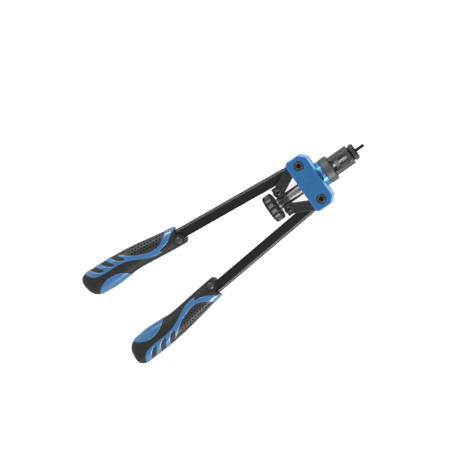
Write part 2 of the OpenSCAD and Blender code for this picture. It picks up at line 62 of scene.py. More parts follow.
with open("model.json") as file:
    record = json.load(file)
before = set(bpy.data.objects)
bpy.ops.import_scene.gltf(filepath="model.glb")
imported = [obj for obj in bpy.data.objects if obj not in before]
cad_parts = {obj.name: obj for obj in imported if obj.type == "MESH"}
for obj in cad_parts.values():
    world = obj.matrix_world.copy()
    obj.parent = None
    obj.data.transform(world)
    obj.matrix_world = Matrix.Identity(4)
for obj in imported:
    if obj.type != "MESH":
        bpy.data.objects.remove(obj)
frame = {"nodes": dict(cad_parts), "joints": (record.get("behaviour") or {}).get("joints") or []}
CAD_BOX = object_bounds()
JOINTS = {joint["name"]: joint for joint in frame["joints"]}
MM = 0.001
# How close to a cutting plane a point counts as on it, and how close points are merged
TOUCH = 0.0001 * MM
MERGE = 0.002 * MM
FINE_MERGE = 0.001 * MM
GRIP_MERGE = 0.004 * MM
THREAD_MERGE = 0.005 * MM
# Angle between faces below which they count as one flat face
FLAT = math.radians(0.4)
# Place of a finish among those of its piece: edges with wear and painted highlight, or pad, second;
# socket with painted shade, or bore with painted light, third
SECOND = 1
THIRD = 2
UPPER = "upper"
LOWER = "lower"
SIDES = (UPPER, LOWER)
# Screws with a socket in their upper end: the joint on their axis and the socket's radius
SOCKETS = {"pivot_bolts": ("upper_arm_swing", 3 * MM), "link_screws": ("upper_link_swing", 2 * MM)}

# Radius of the round edges of the pieces
RIVET_EDGE = 0.25 * MM
FINE_EDGE = 0.3 * MM
HEAD_EDGE = 0.5 * MM
KNOB_EDGE = 0.5 * MM
NOSE_EDGE = 0.6 * MM
LINK_EDGE = 0.9 * MM

# Where the band of the anvil that keeps its own colour lies along the axis, and how softly it ends;
# outside it, its groove and front get painted shade
ANVIL_BAND = (-4.9 * MM, -1.9 * MM)
ANVIL_FADE = 0.3 * MM

# How far the grey of the knob's lobes starts and is full below their tops, and from the knob's ends
LOBE_RIM = (1.1 * MM, 0.1 * MM)
LOBE_ENDS = (3.6 * MM, 2.8 * MM)

# Reach of the nose housing's bore, and how far beside the mandrel its floor keeps the housing's dark
# colour as painted shade
BORE_REACH = 9.6 * MM
BORE_SHADE = 3.8 * MM

# Outlines on the grip, in mm: along the grip from its mouth, and outwards from the arm
WAVE_TOP = (
    (9.6, 13.4), (12.4, 9), (16.6, 5), (21.6, 1.4), (27, -0.8), (33, -1.4), (39, -0.8), (45, 0.6),
    (51, 2.4), (57, 5), (62, 7.8), (66.6, 10.9), (70.5, 13.2), (73.4, 14.4), (74.6, 13.4),
)
WAVE_BOTTOM = (
    (120.4, 15.6), (118.6, 11.6), (115.6, 7.6), (111.6, 4.8), (106, 3.4), (99, 3), (90, 3.3),
    (80, 3.6), (73, 3.2), (66, 1.8), (60, 0), (54.6, -2.2), (44.6, -6.2), (39.6, -7.8),
    (34.6, -8.8), (28.6, -9.2),
)
WAVE_SPUR = ((23.2, -8.5), (28.2, -5.3))
WAVE_FRONT = (
    (24.6, -5), (19.6, -4), (14.6, -2.2), (9.6, 0.8), (5, 4.4), (1.6, 7), (-2, 7.6),
)
BELLY = (
    (70, -13.4), (72.6, -10.8), (76.6, -8.2), (81.6, -5.8), (87.6, -4.4), (93.6, -4), (99.6, -4.6),
    (105, -6.6), (110, -9.5), (114, -13.2),
)
STRIPE = (
    (7, 15.6), (4.8, 12), (2, 9.2), (0.3, 7.5), (0.5, 6.2), (1.7, 5.9), (4.6, 6.6), (8.6, 8.9),
    (11.8, 11.8), (14, 15.2),
)
STRIPE_STARTS = (68, 82.6, 97.3)
# Where the outlines run out past the grip's edge, and where a stripe opens and closes there
PAST_EDGE = 26
WAVE_ENDS = (9.4, 121)
BELLY_ENDS = (69, 116)
STRIPE_ENDS = (7.6, 14.8)
LIP_CORNER = (-6, 7.6)

# Field of the dimples: rows, places in a row, first place, slope, and room to the pad's edges
DIMPLE_ROWS = 5
DIMPLES_IN_ROW = 17
DIMPLE_START = (11 * MM, 13.2 * MM)
DIMPLE_SLOPE = 0.03
DIMPLE_LEVEL = 30 * MM
DIMPLE_ROOM = (2.4 * MM, 1.7 * MM)


def length(name, description, millimetres):
    """A length that the user may change"""
    return FloatProperty(
        name=name, description=description, default=millimetres * MM, precision=5, unit="LENGTH"
    )


def tint(name, description, colour):
    """A colour that the user may change"""
    return FloatVectorProperty(
        name=name, description=description, default=colour, subtype="COLOR", size=3, min=0, max=1
    )


class RivetToolGripSizes(bpy.types.PropertyGroup):
    """Sizes of the moulded grips"""

    arm_angle: FloatProperty(
        name="Arm angle",
        description="Angle of each closed arm to the tool's axis",
        default=math.radians(5.4),
        subtype="ANGLE",
    )
    mouth: length("Mouth", "Distance from an arm's pivot to its grip's mouth", 169)
    size: length("Length", "Length of a grip", 128.5)
    palm_front: length("Palm at the mouth", "Reach of the palm side at the mouth", 9.6)
    palm_wide: length("Palm at its widest", "Reach of the palm side at its widest", 16.8)
    palm_drop: length("Palm drop", "How far the palm side draws in again at the end", 1.7)
    finger_front: length("Finger side at the mouth", "Reach of the finger side at the mouth", 13.4)
    finger_waist: length("Finger side at the waist", "Reach of the finger side at the waist", 12.4)
    finger_belly: length("Finger side at the belly", "Reach of the finger side at the belly", 17)
    thin: length("Half thickness at the mouth", "Half of the thickness at the mouth", 11.4)
    thick: length("Half thickness at the belly", "Half of the thickness at the belly", 13.4)
    end: length("End rounding", "Length of the rounding at the end", 16)
    lead: length("Lead", "Length of the loft in front of the mouth, for the ear", 16)
    arm_w: length("Arm width", "Width of an arm", 14)
    arm_t: length("Arm thickness", "Thickness of an arm", 12.4)
    arm_round: length("Arm edge", "Radius of an arm's outer edges", 4.2)
    rivet_in: length("Rivet", "Distance of the rivet behind the mouth", 0.2)
    rivet_out: length("Rivet offset", "Distance of the rivet from the arm's centre line", 6.28)
    rivet_seat: length("Rivet seat", "Radius of the recess round the rivet", 5.8)
    rivet_rim: length("Rivet rim", "Radius of the boss round the rivet", 6.6)
    rivet_floor: length("Rivet floor", "Height of the boss round the rivet", 10.4)
    ear_r: length("Ear", "Radius of the ear round the rivet", 7.4)
    toe_reach: length("Toe", "Reach of the ear's toe in front of the rivet", 9)
    toe_r: length("Toe radius", "Radius of the ear's toe", 5)
    lip: length("Lip", "Reach of the inlay's lip in front of the mouth", 1.9)
    lip_core: length("Lip core", "Reach of the grip under the lip", -0.3)
    proud: length("Inlay height", "Height of the inlays above the grip", 0.6)
    depth: length("Inlay depth", "Depth of the inlays in the grip", 1.6)
    inlay_grid: length("Inlay grid", "Grid that the inlays are smoothed on", 0.5)
    dimple_r: length("Dimple", "Radius of a dimple in the palm pad", 1.1)
    dimple_depth: length("Dimple depth", "Depth of a dimple", 0.85)
    dimple_pitch: length("Dimple pitch", "Distance between dimples", 4.2)
    dimple_rows: length("Dimple rows", "Distance between the rows of dimples", 3.2)
    sides: IntProperty(name="Sides", description="Points round a grip", default=72, min=24)
    rings: IntProperty(name="Rings", description="Sections along a grip", default=60, min=20)


class RivetToolHeadSizes(bpy.types.PropertyGroup):
    """Sizes of the head's front"""

    front: length("Front", "Distance of the front from the arms' pivots", 14.9)
    corner: length("Corner", "Size of the cut front corners", 7)
    bevel_in: length("Bevel width", "Width of the bevels along the front", 2)
    bevel_down: length("Bevel depth", "Depth of the bevels along the front", 2.4)


class RivetToolColours(bpy.types.PropertyGroup):
    """Colours of the tool"""

    head: tint("Head", "Anodised head", (0.045, 0.205, 0.5))
    # Head edges: lighter colour for wear and painted highlight on the round edges
    head_edge: tint("Head edges", "Worn edges of the head", (0.26, 0.48, 0.78))
    head_cut: tint("Head bevels", "Bright bevels along the head's front", (0.22, 0.5, 0.86))
    inlay: tint("Inlays", "Moulded inlays", (0.045, 0.185, 0.41))
    grip: tint("Grips", "Moulded grips", (0.018, 0.017, 0.0165))
    pad: tint("Palm pads", "Dimpled pads of the grips", (0.031, 0.032, 0.033))
    # Dimples: near black, painted shade on the dimples' floors
    dimple: tint("Dimples", "Floor of the dimples", (0.003, 0.003, 0.003))
    arm: tint("Arms", "Lacquered arms", (0.012, 0.0095, 0.008))
    # Arm edges: lighter colour for wear and painted highlight
    arm_edge: tint("Arm edges", "Worn edges of the arms", (0.05, 0.045, 0.042))
    link: tint("Links", "Blackened links and crosshead", (0.027, 0.026, 0.0255))
    # Link edges, also used on the rivets: lighter colour for wear and painted highlight
    link_edge: tint("Link edges", "Worn edges of the links", (0.17, 0.167, 0.163))
    ring: tint("Ring", "Phosphated lock ring", (0.082, 0.084, 0.088))
    phosphate: tint("Nose", "Phosphated nose housing", (0.058, 0.061, 0.066))
    # Nose and ring edges: lighter colour for wear and painted highlight
    phosphate_edge: tint("Nose edges", "Worn edges of the nose and ring", (0.1, 0.1, 0.106))
    # Bore walls: very light, painted light on the walls seen through the window
    bore: tint("Nose bore", "Bare walls of the nose housing's bore", (0.8, 0.81, 0.83))
    anvil: tint("Anvil", "Hard steel of the anvil", (0.064, 0.065, 0.068))
    screw: tint("Screws", "Black screws", (0.088, 0.08, 0.07))
    button: tint("Button screws", "Black button-head screws of the links", (0.04, 0.038, 0.036))
    # Screw edges: lighter colour for wear and painted highlight
    screw_edge: tint("Screw edges", "Worn edges of the screws", (0.28, 0.26, 0.24))
    # Sockets: near black, painted shade inside the screws' sockets and on the anvil's groove and front
    socket: tint("Sockets", "Oily sockets of the screws", (0.006, 0.005, 0.0045))
    bright: tint("Bright steel", "Ground drawbar, pins and washers", (0.18, 0.18, 0.19))
    mandrel: tint("Mandrel", "Polished mandrel", (0.75, 0.75, 0.77))
    bronze: tint("Bush", "Sintered bush", (0.50, 0.33, 0.14))
    knob: tint("Knob", "Hollows and ends of the knob", (0.007, 0.007, 0.008))
    # Lobes: lighter grey near their tops and away from the knob's ends
    knob_lobe: tint("Knob lobes", "Lobes of the knob, rubbed grey", (0.165, 0.173, 0.185))
    rivet: tint("Rivets", "Black rivets of the grips", (0.05, 0.051, 0.053))
    thread: tint("Thread", "Blackened thread", (0.022, 0.022, 0.023))


class RivetToolStage(bpy.types.PropertyGroup):
    """Camera and light"""

    tilt: FloatProperty(
        name="Tilt",
        description="Lean of the view towards the nose",
        default=math.radians(7),
        subtype="ANGLE",
    )
    roll: FloatProperty(
        name="Roll",
        description="Turn of the tool's axis in the picture",
        default=math.radians(35),
        subtype="ANGLE",
    )
    target_x: length("Target along the axis", "Middle of the picture along the tool", -176.6)
    target_y: length("Target across the axis", "Middle of the picture across the tool", 1.55)
    field: length("Field", "Width of the picture at the tool", 560.7)
    distance: FloatProperty(
        name="Distance", description="Distance of the camera", default=2.2, unit="LENGTH"
    )


class RivetToolSettings(bpy.types.PropertyGroup):
    """All settings of the rivet nut tool"""

    grip: PointerProperty(type=RivetToolGripSizes)
    head: PointerProperty(type=RivetToolHeadSizes)
    colour: PointerProperty(type=RivetToolColours)
    stage: PointerProperty(type=RivetToolStage)


def settings():
    """The settings of this scene"""
    return bpy.context.scene.rivet_tool


# Modelling helpers


def deselect():
    """Leave edit mode and select nothing"""
    if bpy.context.object and bpy.context.object.mode != "OBJECT":
        bpy.ops.object.mode_set(mode="OBJECT")
    bpy.ops.object.select_all(action="DESELECT")


def activate(piece):
    """Make one piece the selected and active one"""
    deselect()
    piece.select_set(True)
    bpy.context.view_layer.objects.active = piece


def edit(piece):
    """Open a piece in edit mode with everything selected"""
    activate(piece)
    bpy.ops.object.mode_set(mode="EDIT")
    bpy.ops.mesh.select_all(action="SELECT")


def close_edit():
    """Return to object mode"""
    bpy.ops.object.mode_set(mode="OBJECT")


def apply_modifier(piece, kind, **values):
    """Add a modifier to a piece and apply it"""
    activate(piece)
    modifier = piece.modifiers.new(kind.title(), kind)
    for key, value in values.items():
        setattr(modifier, key, value)
    bpy.ops.object.modifier_apply(modifier=modifier.name)


def boolean(piece, tool, operation):
    """Combine a piece with another solid, which is used up"""
    apply_modifier(piece, "BOOLEAN", object=tool, operation=operation, solver="EXACT")
    bpy.data.objects.remove(tool)


def cut(piece, place, direction):
    """Cut off what lies past a plane and close the cut"""
    edit(piece)
    bpy.ops.mesh.bisect(
        plane_co=place, plane_no=direction, use_fill=True, clear_outer=True, threshold=TOUCH
    )
    close_edit()


def bevel(piece, kind, picked, offset, segments):
    """Bevel the edges or polygons of a piece that a test picks"""
    edit(piece)
    bpy.ops.mesh.select_all(action="DESELECT")
    close_edit()
    for item in getattr(piece.data, kind):
        item.select = picked(item)
    bpy.ops.object.mode_set(mode="EDIT")
    bpy.ops.mesh.bevel(offset=offset, segments=segments)
    close_edit()


def settle():
    """The piece that was just added, with its placing applied"""
    bpy.ops.object.transform_apply(location=True, rotation=True, scale=True)
    return bpy.context.object


def block(place, size, turn=(0, 0, 0)):
    """A block to build or cut with"""
    deselect()
    bpy.ops.mesh.primitive_cube_add(size=1, location=place, rotation=turn)
    bpy.context.object.scale = size
    return settle()


def drum(place, radius, depth, points, turn=(0, 0, 0)):
    """A round bar to build or cut with"""
    deselect()
    bpy.ops.mesh.primitive_cylinder_add(
        vertices=points, radius=radius, depth=depth, location=place, rotation=turn
    )
    return settle()


def smooth(piece, degrees):
    """Shade smooth where faces meet at less than an angle"""
    activate(piece)
    bpy.ops.object.shade_smooth_by_angle(angle=math.radians(degrees))


def tidy_mesh(piece, gap):
    """Merge points closer than a gap and turn all faces outwards"""
    edit(piece)
    bpy.ops.mesh.remove_doubles(threshold=gap)
    bpy.ops.mesh.normals_make_consistent(inside=False)
    close_edit()


def show(name, data):
    """A new object in the scene"""
    piece = bpy.data.objects.new(name, data)
    bpy.context.scene.collection.objects.link(piece)
    return piece


def copy_of(piece, name):
    """A copy of a piece with its own mesh"""
    return show(name, piece.data.copy())


def merged_copy(node, name, finishes):
    """A copy of a solid of the frame, with its points merged and its flat faces whole"""
    piece = copy_of(frame["nodes"][node], name)
    paint(piece, *finishes)
    edit(piece)
    bpy.ops.mesh.customdata_custom_splitnormals_clear()
    bpy.ops.mesh.remove_doubles(threshold=MERGE)
    bpy.ops.mesh.dissolve_limited(angle_limit=FLAT)
    close_edit()
    return piece


def rounded_copy(node, name, finishes, width, segments=2, degrees=30):
    """A copy of a solid of the frame with round edges in the second of its finishes"""
    piece = merged_copy(node, name, finishes)
    round_edges(piece, width, segments, degrees)
    return piece


def round_edges(piece, width, segments, degrees):
    """Round the edges that are sharper than an angle, and keep flat faces flat"""
    # The rounds take the second finish: edges with painted wear and highlight
    apply_modifier(
        piece, "BEVEL", width=width, segments=segments, limit_method="ANGLE",
        angle_limit=math.radians(degrees), use_clamp_overlap=True, loop_slide=True, material=SECOND,
    )
    smooth(piece, degrees)
    apply_modifier(piece, "WEIGHTED_NORMAL", mode="FACE_AREA", weight=50, keep_sharp=True)


def paint(piece, *materials):
    """Give a piece its materials"""
    piece.data.materials.clear()
    for material in materials:
        piece.data.materials.append(material)


def seat(piece, body, slot, *nodes):
    """Let a piece ride on its body, in place of the solids that it stands for"""
    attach(piece, body)
    if nodes:
        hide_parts(*nodes)


def dress(node, body, slot, finishes, width, **rounding):
    """A copy of a solid with round edges, in place of the solid"""
    piece = rounded_copy(node, node + "_dressed", finishes, width, **rounding)
    seat(piece, body, slot, node)
    return piece


# Finishes


class Nodes:
    """Nodes of a material or of the world"""

    def __init__(self, owner):
        owner.use_nodes = True
        self.tree = owner.node_tree

    def add(self, kind, **values):
        """A new node"""
        node = self.tree.nodes.new(kind)
        for key, value in values.items():
            setattr(node, key, value)
        return node

    def put(self, value, socket):
        """A value on a socket, or a link from another socket"""
        if isinstance(value, bpy.types.NodeSocket):
            self.tree.links.new(value, socket)
        else:
            socket.default_value = value

    def math(self, operation, *values):
        """A sum of numbers and sockets"""
        node = self.add("ShaderNodeMath", operation=operation)
        for value, socket in zip(values, node.inputs):
            self.put(value, socket)
        return node.outputs["Value"]

    def part(self, vector, axis):
        """One part of a vector"""
        node = self.add("ShaderNodeSeparateXYZ")
        self.put(vector, node.inputs["Vector"])
        return node.outputs[axis]

    def span(self, source, start, end, low, high):
        """A value that runs from low to high while the source runs from start to end"""
        node = self.add("ShaderNodeMapRange")
        sockets = ("Value", "From Min", "From Max", "To Min", "To Max")
        for value, socket in zip((source, start, end, low, high), sockets):
            self.put(value, node.inputs[socket])
        return node.outputs["Result"]


class Finish(Nodes):
    """A material made of nodes on object coordinates"""

    def __init__(self, name, colour, metallic, roughness):
        self.material = bpy.data.materials.new(name)
        super().__init__(self.material)
        self.shader = self.tree.nodes["Principled BSDF"]
        self.colour = colour
        self.set("Base Color", (*colour, 1))
        self.set("Metallic", metallic)
        self.set("Roughness", roughness)
        self.coordinates = self.add("ShaderNodeTexCoord").outputs["Object"]

    def set(self, socket, value):
        """A value or a link on one of the shader's own sockets"""
        self.put(value, self.shader.inputs[socket])

    def noise(self, grain, detail=3.0, stretch=(1, 1, 1)):
        """Noise with a grain of a given size, stretched along the axes"""
        mapping = self.add("ShaderNodeMapping")
        mapping.inputs["Scale"].default_value = stretch
        self.put(self.coordinates, mapping.inputs["Vector"])
        node = self.add("ShaderNodeTexNoise")
        node.inputs["Scale"].default_value = 1 / grain
        node.inputs["Detail"].default_value = detail
        self.put(mapping.outputs["Vector"], node.inputs["Vector"])
        return node.outputs["Fac"]

    def cells(self, grain):
        """Pebbles of a given size"""
        node = self.add("ShaderNodeTexVoronoi", feature="SMOOTH_F1")
        node.inputs["Scale"].default_value = 1 / grain
        self.put(self.coordinates, node.inputs["Vector"])
        return node.outputs["Distance"]

    def shade(self, source, places, colours):
        """Colour that runs from one to another while the source runs between two places"""
        ramp = self.add("ShaderNodeValToRGB")
        for element, place, colour in zip(ramp.color_ramp.elements, places, colours):
            element.position = place
            element.color = (*colour, 1)
        self.put(source, ramp.inputs["Fac"])
        self.set("Base Color", ramp.outputs["Color"])

    def mottle(self, source, *tones):
        """Colour that varies between a darker and a lighter tone of its own"""
        colours = [[min(1, tone * part) for part in self.colour] for tone in tones]
        self.shade(source, NOISE_RANGE, colours)

    def polish(self, source, low, high):
        """Roughness that varies between two values"""
        self.set("Roughness", self.span(source, *NOISE_RANGE, low, high))

    def relief(self, source, height, strength):
        """Fine relief"""
        bump = self.add("ShaderNodeBump")
        bump.inputs["Distance"].default_value = height
        bump.inputs["Strength"].default_value = strength
        self.put(source, bump.inputs["Height"])
        self.set("Normal", bump.outputs["Normal"])


# Range that most of a noise lies in, and the whole of a mask
NOISE_RANGE = (0.3, 0.7)
MASK_RANGE = (0, 1)
# Worn edges with painted highlight: range and size of the lighter patches of wear and painted
# highlight, grain and spread of the roughness, and relief
WEAR_AND_HIGHLIGHT_RANGE = (0.2, 0.6)
WEAR_AND_HIGHLIGHT_PATCH = 5 * MM
WEAR_GRAIN = 0.5 * MM
WEAR_SPREAD = (-0.06, 0.08)
WEAR_RELIEF_GRAIN = 0.4 * MM
WEAR_RELIEF = (0.02 * MM, 0.5)

NOISE = "noise"
PEBBLES = "pebbles"


class Recipe(NamedTuple):
    """What a finish is made of, with its grains and heights in mm"""

    metallic: float
    roughness: float
    # Grain, darker and lighter tone
    mottle: tuple = ()
    # Grain, lowest and highest roughness
    polish: tuple = ()
    # Pattern, grain, height and strength
    relief: tuple = ()
    specular: float = 0.5
    detail: float = 3.0
    stretch: tuple = (1, 1, 1)
    # Metallic and roughness of the edges with painted wear and highlight
    edge: tuple = ()


RECIPES = {
    # Satin anodised aluminium, and its bevels that were cut bright first
    "anodised_blue": Recipe(
        0.4, 0.3, (9, 0.95, 1.05), (0.8, 0.27, 0.33), (NOISE, 0.25, 0.006, 0.5), edge=(0.5, 0.25)
    ),
    "cut_bevel": Recipe(1, 0.16, (6, 0.92, 1.08), (1.2, 0.13, 0.2)),
    # Moulded plastics: glossy inlays, pebbled grips, softer pads with dimples painted dark as painted
    # shade, the knob
    "inlay_blue": Recipe(
        0, 0.3, (14, 0.96, 1.05), (3, 0.22, 0.27), (NOISE, 0.8, 0.002, 0.3), specular=0.9, detail=1
    ),
    "grip_rubber": Recipe(
        0, 0.55, (2.4, 0.82, 1.18), (1.1, 0.48, 0.62), (PEBBLES, 0.55, 0.05, 0.6), specular=0.4
    ),
    "palm_rubber": Recipe(
        0, 0.45, (1.8, 0.85, 1.15), (0.9, 0.4, 0.52), (PEBBLES, 0.45, 0.04, 0.5), specular=0.45
    ),
    "dimple_floor": Recipe(0, 0.8, (0.6, 0.7, 1.3), specular=0.15),
    "knob_plastic": Recipe(0, 0.4, (), (0.8, 0.34, 0.46), (PEBBLES, 0.35, 0.015, 0.5), specular=0.3),
    # Dark steels: lacquer with a slight orange peel, blackened plate, crystalline phosphate, oxide
    "black_lacquer": Recipe(
        0, 0.36, (6, 0.85, 1.2), (2, 0.32, 0.4), (NOISE, 0.9, 0.006, 0.5),
        stretch=(0.2, 1, 1), edge=(0.2, 0.3),
    ),
    "blackened_steel": Recipe(
        0.15, 0.4, (3, 0.75, 1.3), (0.9, 0.34, 0.46), (NOISE, 0.3, 0.01, 0.6), edge=(0.4, 0.32)
    ),
    "phosphated_steel": Recipe(
        0.15, 0.45, (1.6, 0.8, 1.22), (0.7, 0.38, 0.52), (PEBBLES, 0.3, 0.015, 0.5), edge=(0.5, 0.32)
    ),
    "anvil_steel": Recipe(0.1, 0.4, (), (0.6, 0.34, 0.46), (NOISE, 0.3, 0.008, 0.5), specular=0.25),
    "screw_steel": Recipe(
        0.4, 0.34, (1.2, 0.7, 1.35), (0.6, 0.28, 0.4), (NOISE, 0.2, 0.006, 0.5), edge=(0.6, 0.28)
    ),
    "oily_socket": Recipe(0, 0.5, (0.5, 0.6, 1.6), specular=0.3),
    "rivet_steel": Recipe(0.1, 0.4, (1.5, 0.8, 1.3), (0.7, 0.36, 0.44), edge=(0.3, 0.3)),
    "thread_steel": Recipe(0, 0.36, (0.8, 0.7, 1.5), (0.5, 0.34, 0.46), specular=0.08),
    # Bare metals: bore walls painted light, ground bar, polished mandrel, porous bush
    "bore_steel": Recipe(0.1, 0.5, (2, 0.85, 1.15), (0.7, 0.44, 0.56), stretch=(1, 0.3, 0.3)),
    "bright_steel": Recipe(0.45, 0.38, (5, 0.75, 1.25), (1.5, 0.34, 0.42), stretch=(0.3, 1, 1)),
    "mandrel_steel": Recipe(1, 0.32, (8, 0.95, 1.05), (8, 0.3, 0.34)),
    "sintered_bronze": Recipe(0.9, 0.45, (0.7, 0.75, 1.15), (), (PEBBLES, 0.25, 0.02, 0.6)),
}


def finish_by(recipe, colour, name):
    """A finish made by its recipe"""
    made = RECIPES[recipe]
    finish = Finish(name, colour, made.metallic, made.roughness)
    finish.set("Specular IOR Level", made.specular)
    if made.mottle:
        grain, darker, lighter = made.mottle
        finish.mottle(finish.noise(grain * MM, made.detail, made.stretch), darker, lighter)
    if made.polish:
        grain, low, high = made.polish
        finish.polish(finish.noise(grain * MM), low, high)
    if made.relief:
        pattern, grain, height, strength = made.relief
        pebbled = pattern == PEBBLES
        source = finish.cells(grain * MM) if pebbled else finish.noise(grain * MM, made.detail)
        finish.relief(source, height * MM, strength)
    return finish


def surface(recipe, colour, name=None):
    """The material of a plain finish"""
    return finish_by(recipe, colour, name or recipe).material


def edged_with_wear_and_highlight(recipe, colour, edge_colour, name=None):
    """The material of a finish, and that of its edges, painted lighter in patches as wear and as
    painted highlight
    """
    metallic, roughness = RECIPES[recipe].edge
    name = name or recipe
    edge = Finish(name + "_edge", edge_colour, metallic, roughness)
    # Lighter patches on the round edges: wear and painted highlight
    edge.shade(edge.noise(WEAR_AND_HIGHLIGHT_PATCH), WEAR_AND_HIGHLIGHT_RANGE, (colour, edge_colour))
    edge.polish(edge.noise(WEAR_GRAIN), *(roughness + change for change in WEAR_SPREAD))
    edge.relief(edge.noise(WEAR_RELIEF_GRAIN), *WEAR_RELIEF)
    return surface(recipe, colour, name), edge.material


def bright_steel():
    """Ground steel of the bar, the pins and the washers"""
    return surface("bright_steel", settings().colour.bright)


def screw_steel(name, shade):
    """Black oxide on screws, their edges with painted wear and highlight, and painted shade in their
    sockets
    """
    colour = settings().colour
    # Near-black painted shade for the sockets
    socket = surface("oily_socket", colour.socket, name + "_socket")
    return (*edged_with_wear_and_highlight("screw_steel", shade, colour.screw_edge, name), socket)


def anvil_steel():
    """Hard steel of the anvil, with painted shade in its groove and on its front"""
    colour = settings().colour
    finish = finish_by("anvil_steel", colour.anvil, "anvil_steel")
    place = finish.part(finish.coordinates, "X")
    start, end = ANVIL_BAND
    rise = finish.span(place, start - ANVIL_FADE, start, 0, 1)
    fall = finish.span(place, end, end + ANVIL_FADE, 1, 0)
    # Painted shade, in the sockets' colour, on the groove and the front
    finish.shade(finish.math("MULTIPLY", rise, fall), MASK_RANGE, (colour.socket, colour.anvil))
    return finish.material


def knob_plastic():
    """Moulded plastic of the knob: its lobes are lighter grey near their tops, between dark hollows
    and ends
    """
    colour = settings().colour
    low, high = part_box("knob")
    middle = (low.x + high.x) / 2
    half = (high.x - low.x) / 2
    finish = finish_by("knob_plastic", colour.knob, "knob_plastic")
    across = finish.add("ShaderNodeVectorMath", operation="MULTIPLY")
    across.inputs[1].default_value = (0, 1, 1)
    finish.put(finish.coordinates, across.inputs[0])
    radius = finish.add("ShaderNodeVectorMath", operation="LENGTH")
    finish.put(across.outputs["Vector"], radius.inputs[0])
    along = finish.part(finish.coordinates, "X")
    away = finish.math("ABSOLUTE", finish.math("SUBTRACT", along, middle))
    rim = (high.z - inset for inset in LOBE_RIM)
    ends = (half - inset for inset in LOBE_ENDS)
    lobes = finish.span(radius.outputs["Value"], *rim, 0, 1)
    belt = finish.span(away, *ends, 1, 0)
    finish.shade(finish.math("MULTIPLY", lobes, belt), MASK_RANGE, (colour.knob, colour.knob_lobe))
    return finish.material


# Shape of the grips


# Roundness of the sections and of the end, and how far the sections lean
SECTION_POWER = 0.76
END_POWER = 2.6
END_SLANT = 0.2
MOUTH_SLANT = 0.22
LEAST_HALF = 0.4 * MM
END_TURNS = 12
LAST_TURN = math.radians(89)
# Rounds that find the leaning section over a point
LEAN_ROUNDS = 4

# Stretches of a grip, in shares of its length, over which its form changes
PALM_SWELLS = (-0.23, 0.575)
PALM_DRAWS_IN = (0.65, 1)
FINGERS_NARROW = (0.05, 0.42)
BELLY_SWELLS = (0.43, 0.77)
THICKENS = (0, 0.6)
MOUTH_LEANS = (0, 0.25)
END_LEANS = (0.55, 1)
END_GROWS = (0.5, 1)


def swell(grip, t, stretch):
    """Smooth step from 0 to 1 over a stretch of the grip"""
    low, high = (share * grip.size for share in stretch)
    share = min(1, max(0, (t - low) / (high - low)))
    return share * share * (3 - 2 * share)


def signed_power(value, power):
    """A power that keeps the sign"""
    return math.copysign(abs(value) ** power, value)


def palm_reach(grip, t):
    """Reach of the palm side at t from the mouth"""
    wider = (grip.palm_wide - grip.palm_front) * swell(grip, t, PALM_SWELLS)
    return grip.palm_front + wider - grip.palm_drop * swell(grip, t, PALM_DRAWS_IN)


def finger_reach(grip, t):
    """Reach of the finger side at t from the mouth"""
    narrower = (grip.finger_front - grip.finger_waist) * swell(grip, t, FINGERS_NARROW)
    belly = (grip.finger_belly - grip.finger_waist) * swell(grip, t, BELLY_SWELLS)
    return grip.finger_front - narrower + belly


def slant(grip, t):
    """How far a section leans, so that the palm side is longer"""
    return END_SLANT * swell(grip, t, END_LEANS) - MOUTH_SLANT * (1 - swell(grip, t, MOUTH_LEANS))


def section(grip, t, grow):
    """Middle, half width and half thickness of the section at t, drawn out by grow"""
    past = max(0, (t - grip.size + grip.end) / grip.end)
    shrink = max(0, 1 - past**END_POWER) ** (1 / END_POWER)
    palm = palm_reach(grip, t)
    finger = finger_reach(grip, t)
    thickness = grip.thin + (grip.thick - grip.thin) * swell(grip, t, THICKENS)
    half = max(LEAST_HALF, (palm + finger) / 2 * shrink + grow)
    return (palm - finger) / 2, half, max(LEAST_HALF, thickness * shrink + grow)


def grip_stations(grip):
    """Places of the sections, closer together over the round end"""
    straight = grip.size - grip.end
    plain = [(straight + grip.lead) * i / grip.rings - grip.lead for i in range(grip.rings + 1)]
    turns = [LAST_TURN * i / END_TURNS for i in range(1, END_TURNS + 1)]
    return plain + [straight + grip.end * math.sin(turn) for turn in turns]


def grip_loft(name, grip, grow):
    """The whole grip as one loft in the arm's frame, drawn out by grow"""
    stations = grip_stations(grip)
    deselect()
    bpy.ops.mesh.primitive_circle_add(
        vertices=grip.sides, radius=1, fill_type="NGON", enter_editmode=True, location=(0, 0, 0)
    )
    piece = bpy.context.object
    piece.name = name
    middle, half, thick = section(grip, stations[0], grow)
    mesh = bmesh.from_edit_mesh(piece.data)
    for point in mesh.verts:
        angle = math.atan2(point.co.y, point.co.x)
        across = middle + half * signed_power(math.cos(angle), SECTION_POWER)
        up = thick * signed_power(math.sin(angle), SECTION_POWER)
        point.co = (grip.mouth + stations[0], across, up)
    bmesh.update_edit_mesh(piece.data)
    bpy.ops.mesh.select_all(action="SELECT")
    for before, t in zip(stations, stations[1:]):
        next_middle, next_half, next_thick = section(grip, t, grow)
        step = (t - before, next_middle - middle, 0)
        bpy.ops.mesh.extrude_region_move(TRANSFORM_OT_translate={"value": step})
        bpy.ops.transform.resize(
            value=(1, next_half / half, next_thick / thick),
            center_override=(grip.mouth + t, next_middle, 0),
        )
        middle, half, thick = next_middle, next_half, next_thick
    mesh = bmesh.from_edit_mesh(piece.data)
    for point in mesh.verts:
        t = point.co.x - grip.mouth
        point.co.x += slant(grip, t) * point.co.y + grow * swell(grip, t, END_GROWS)
    bmesh.update_edit_mesh(piece.data)
    close_edit()
    tidy_mesh(piece, FINE_MERGE)
    return piece


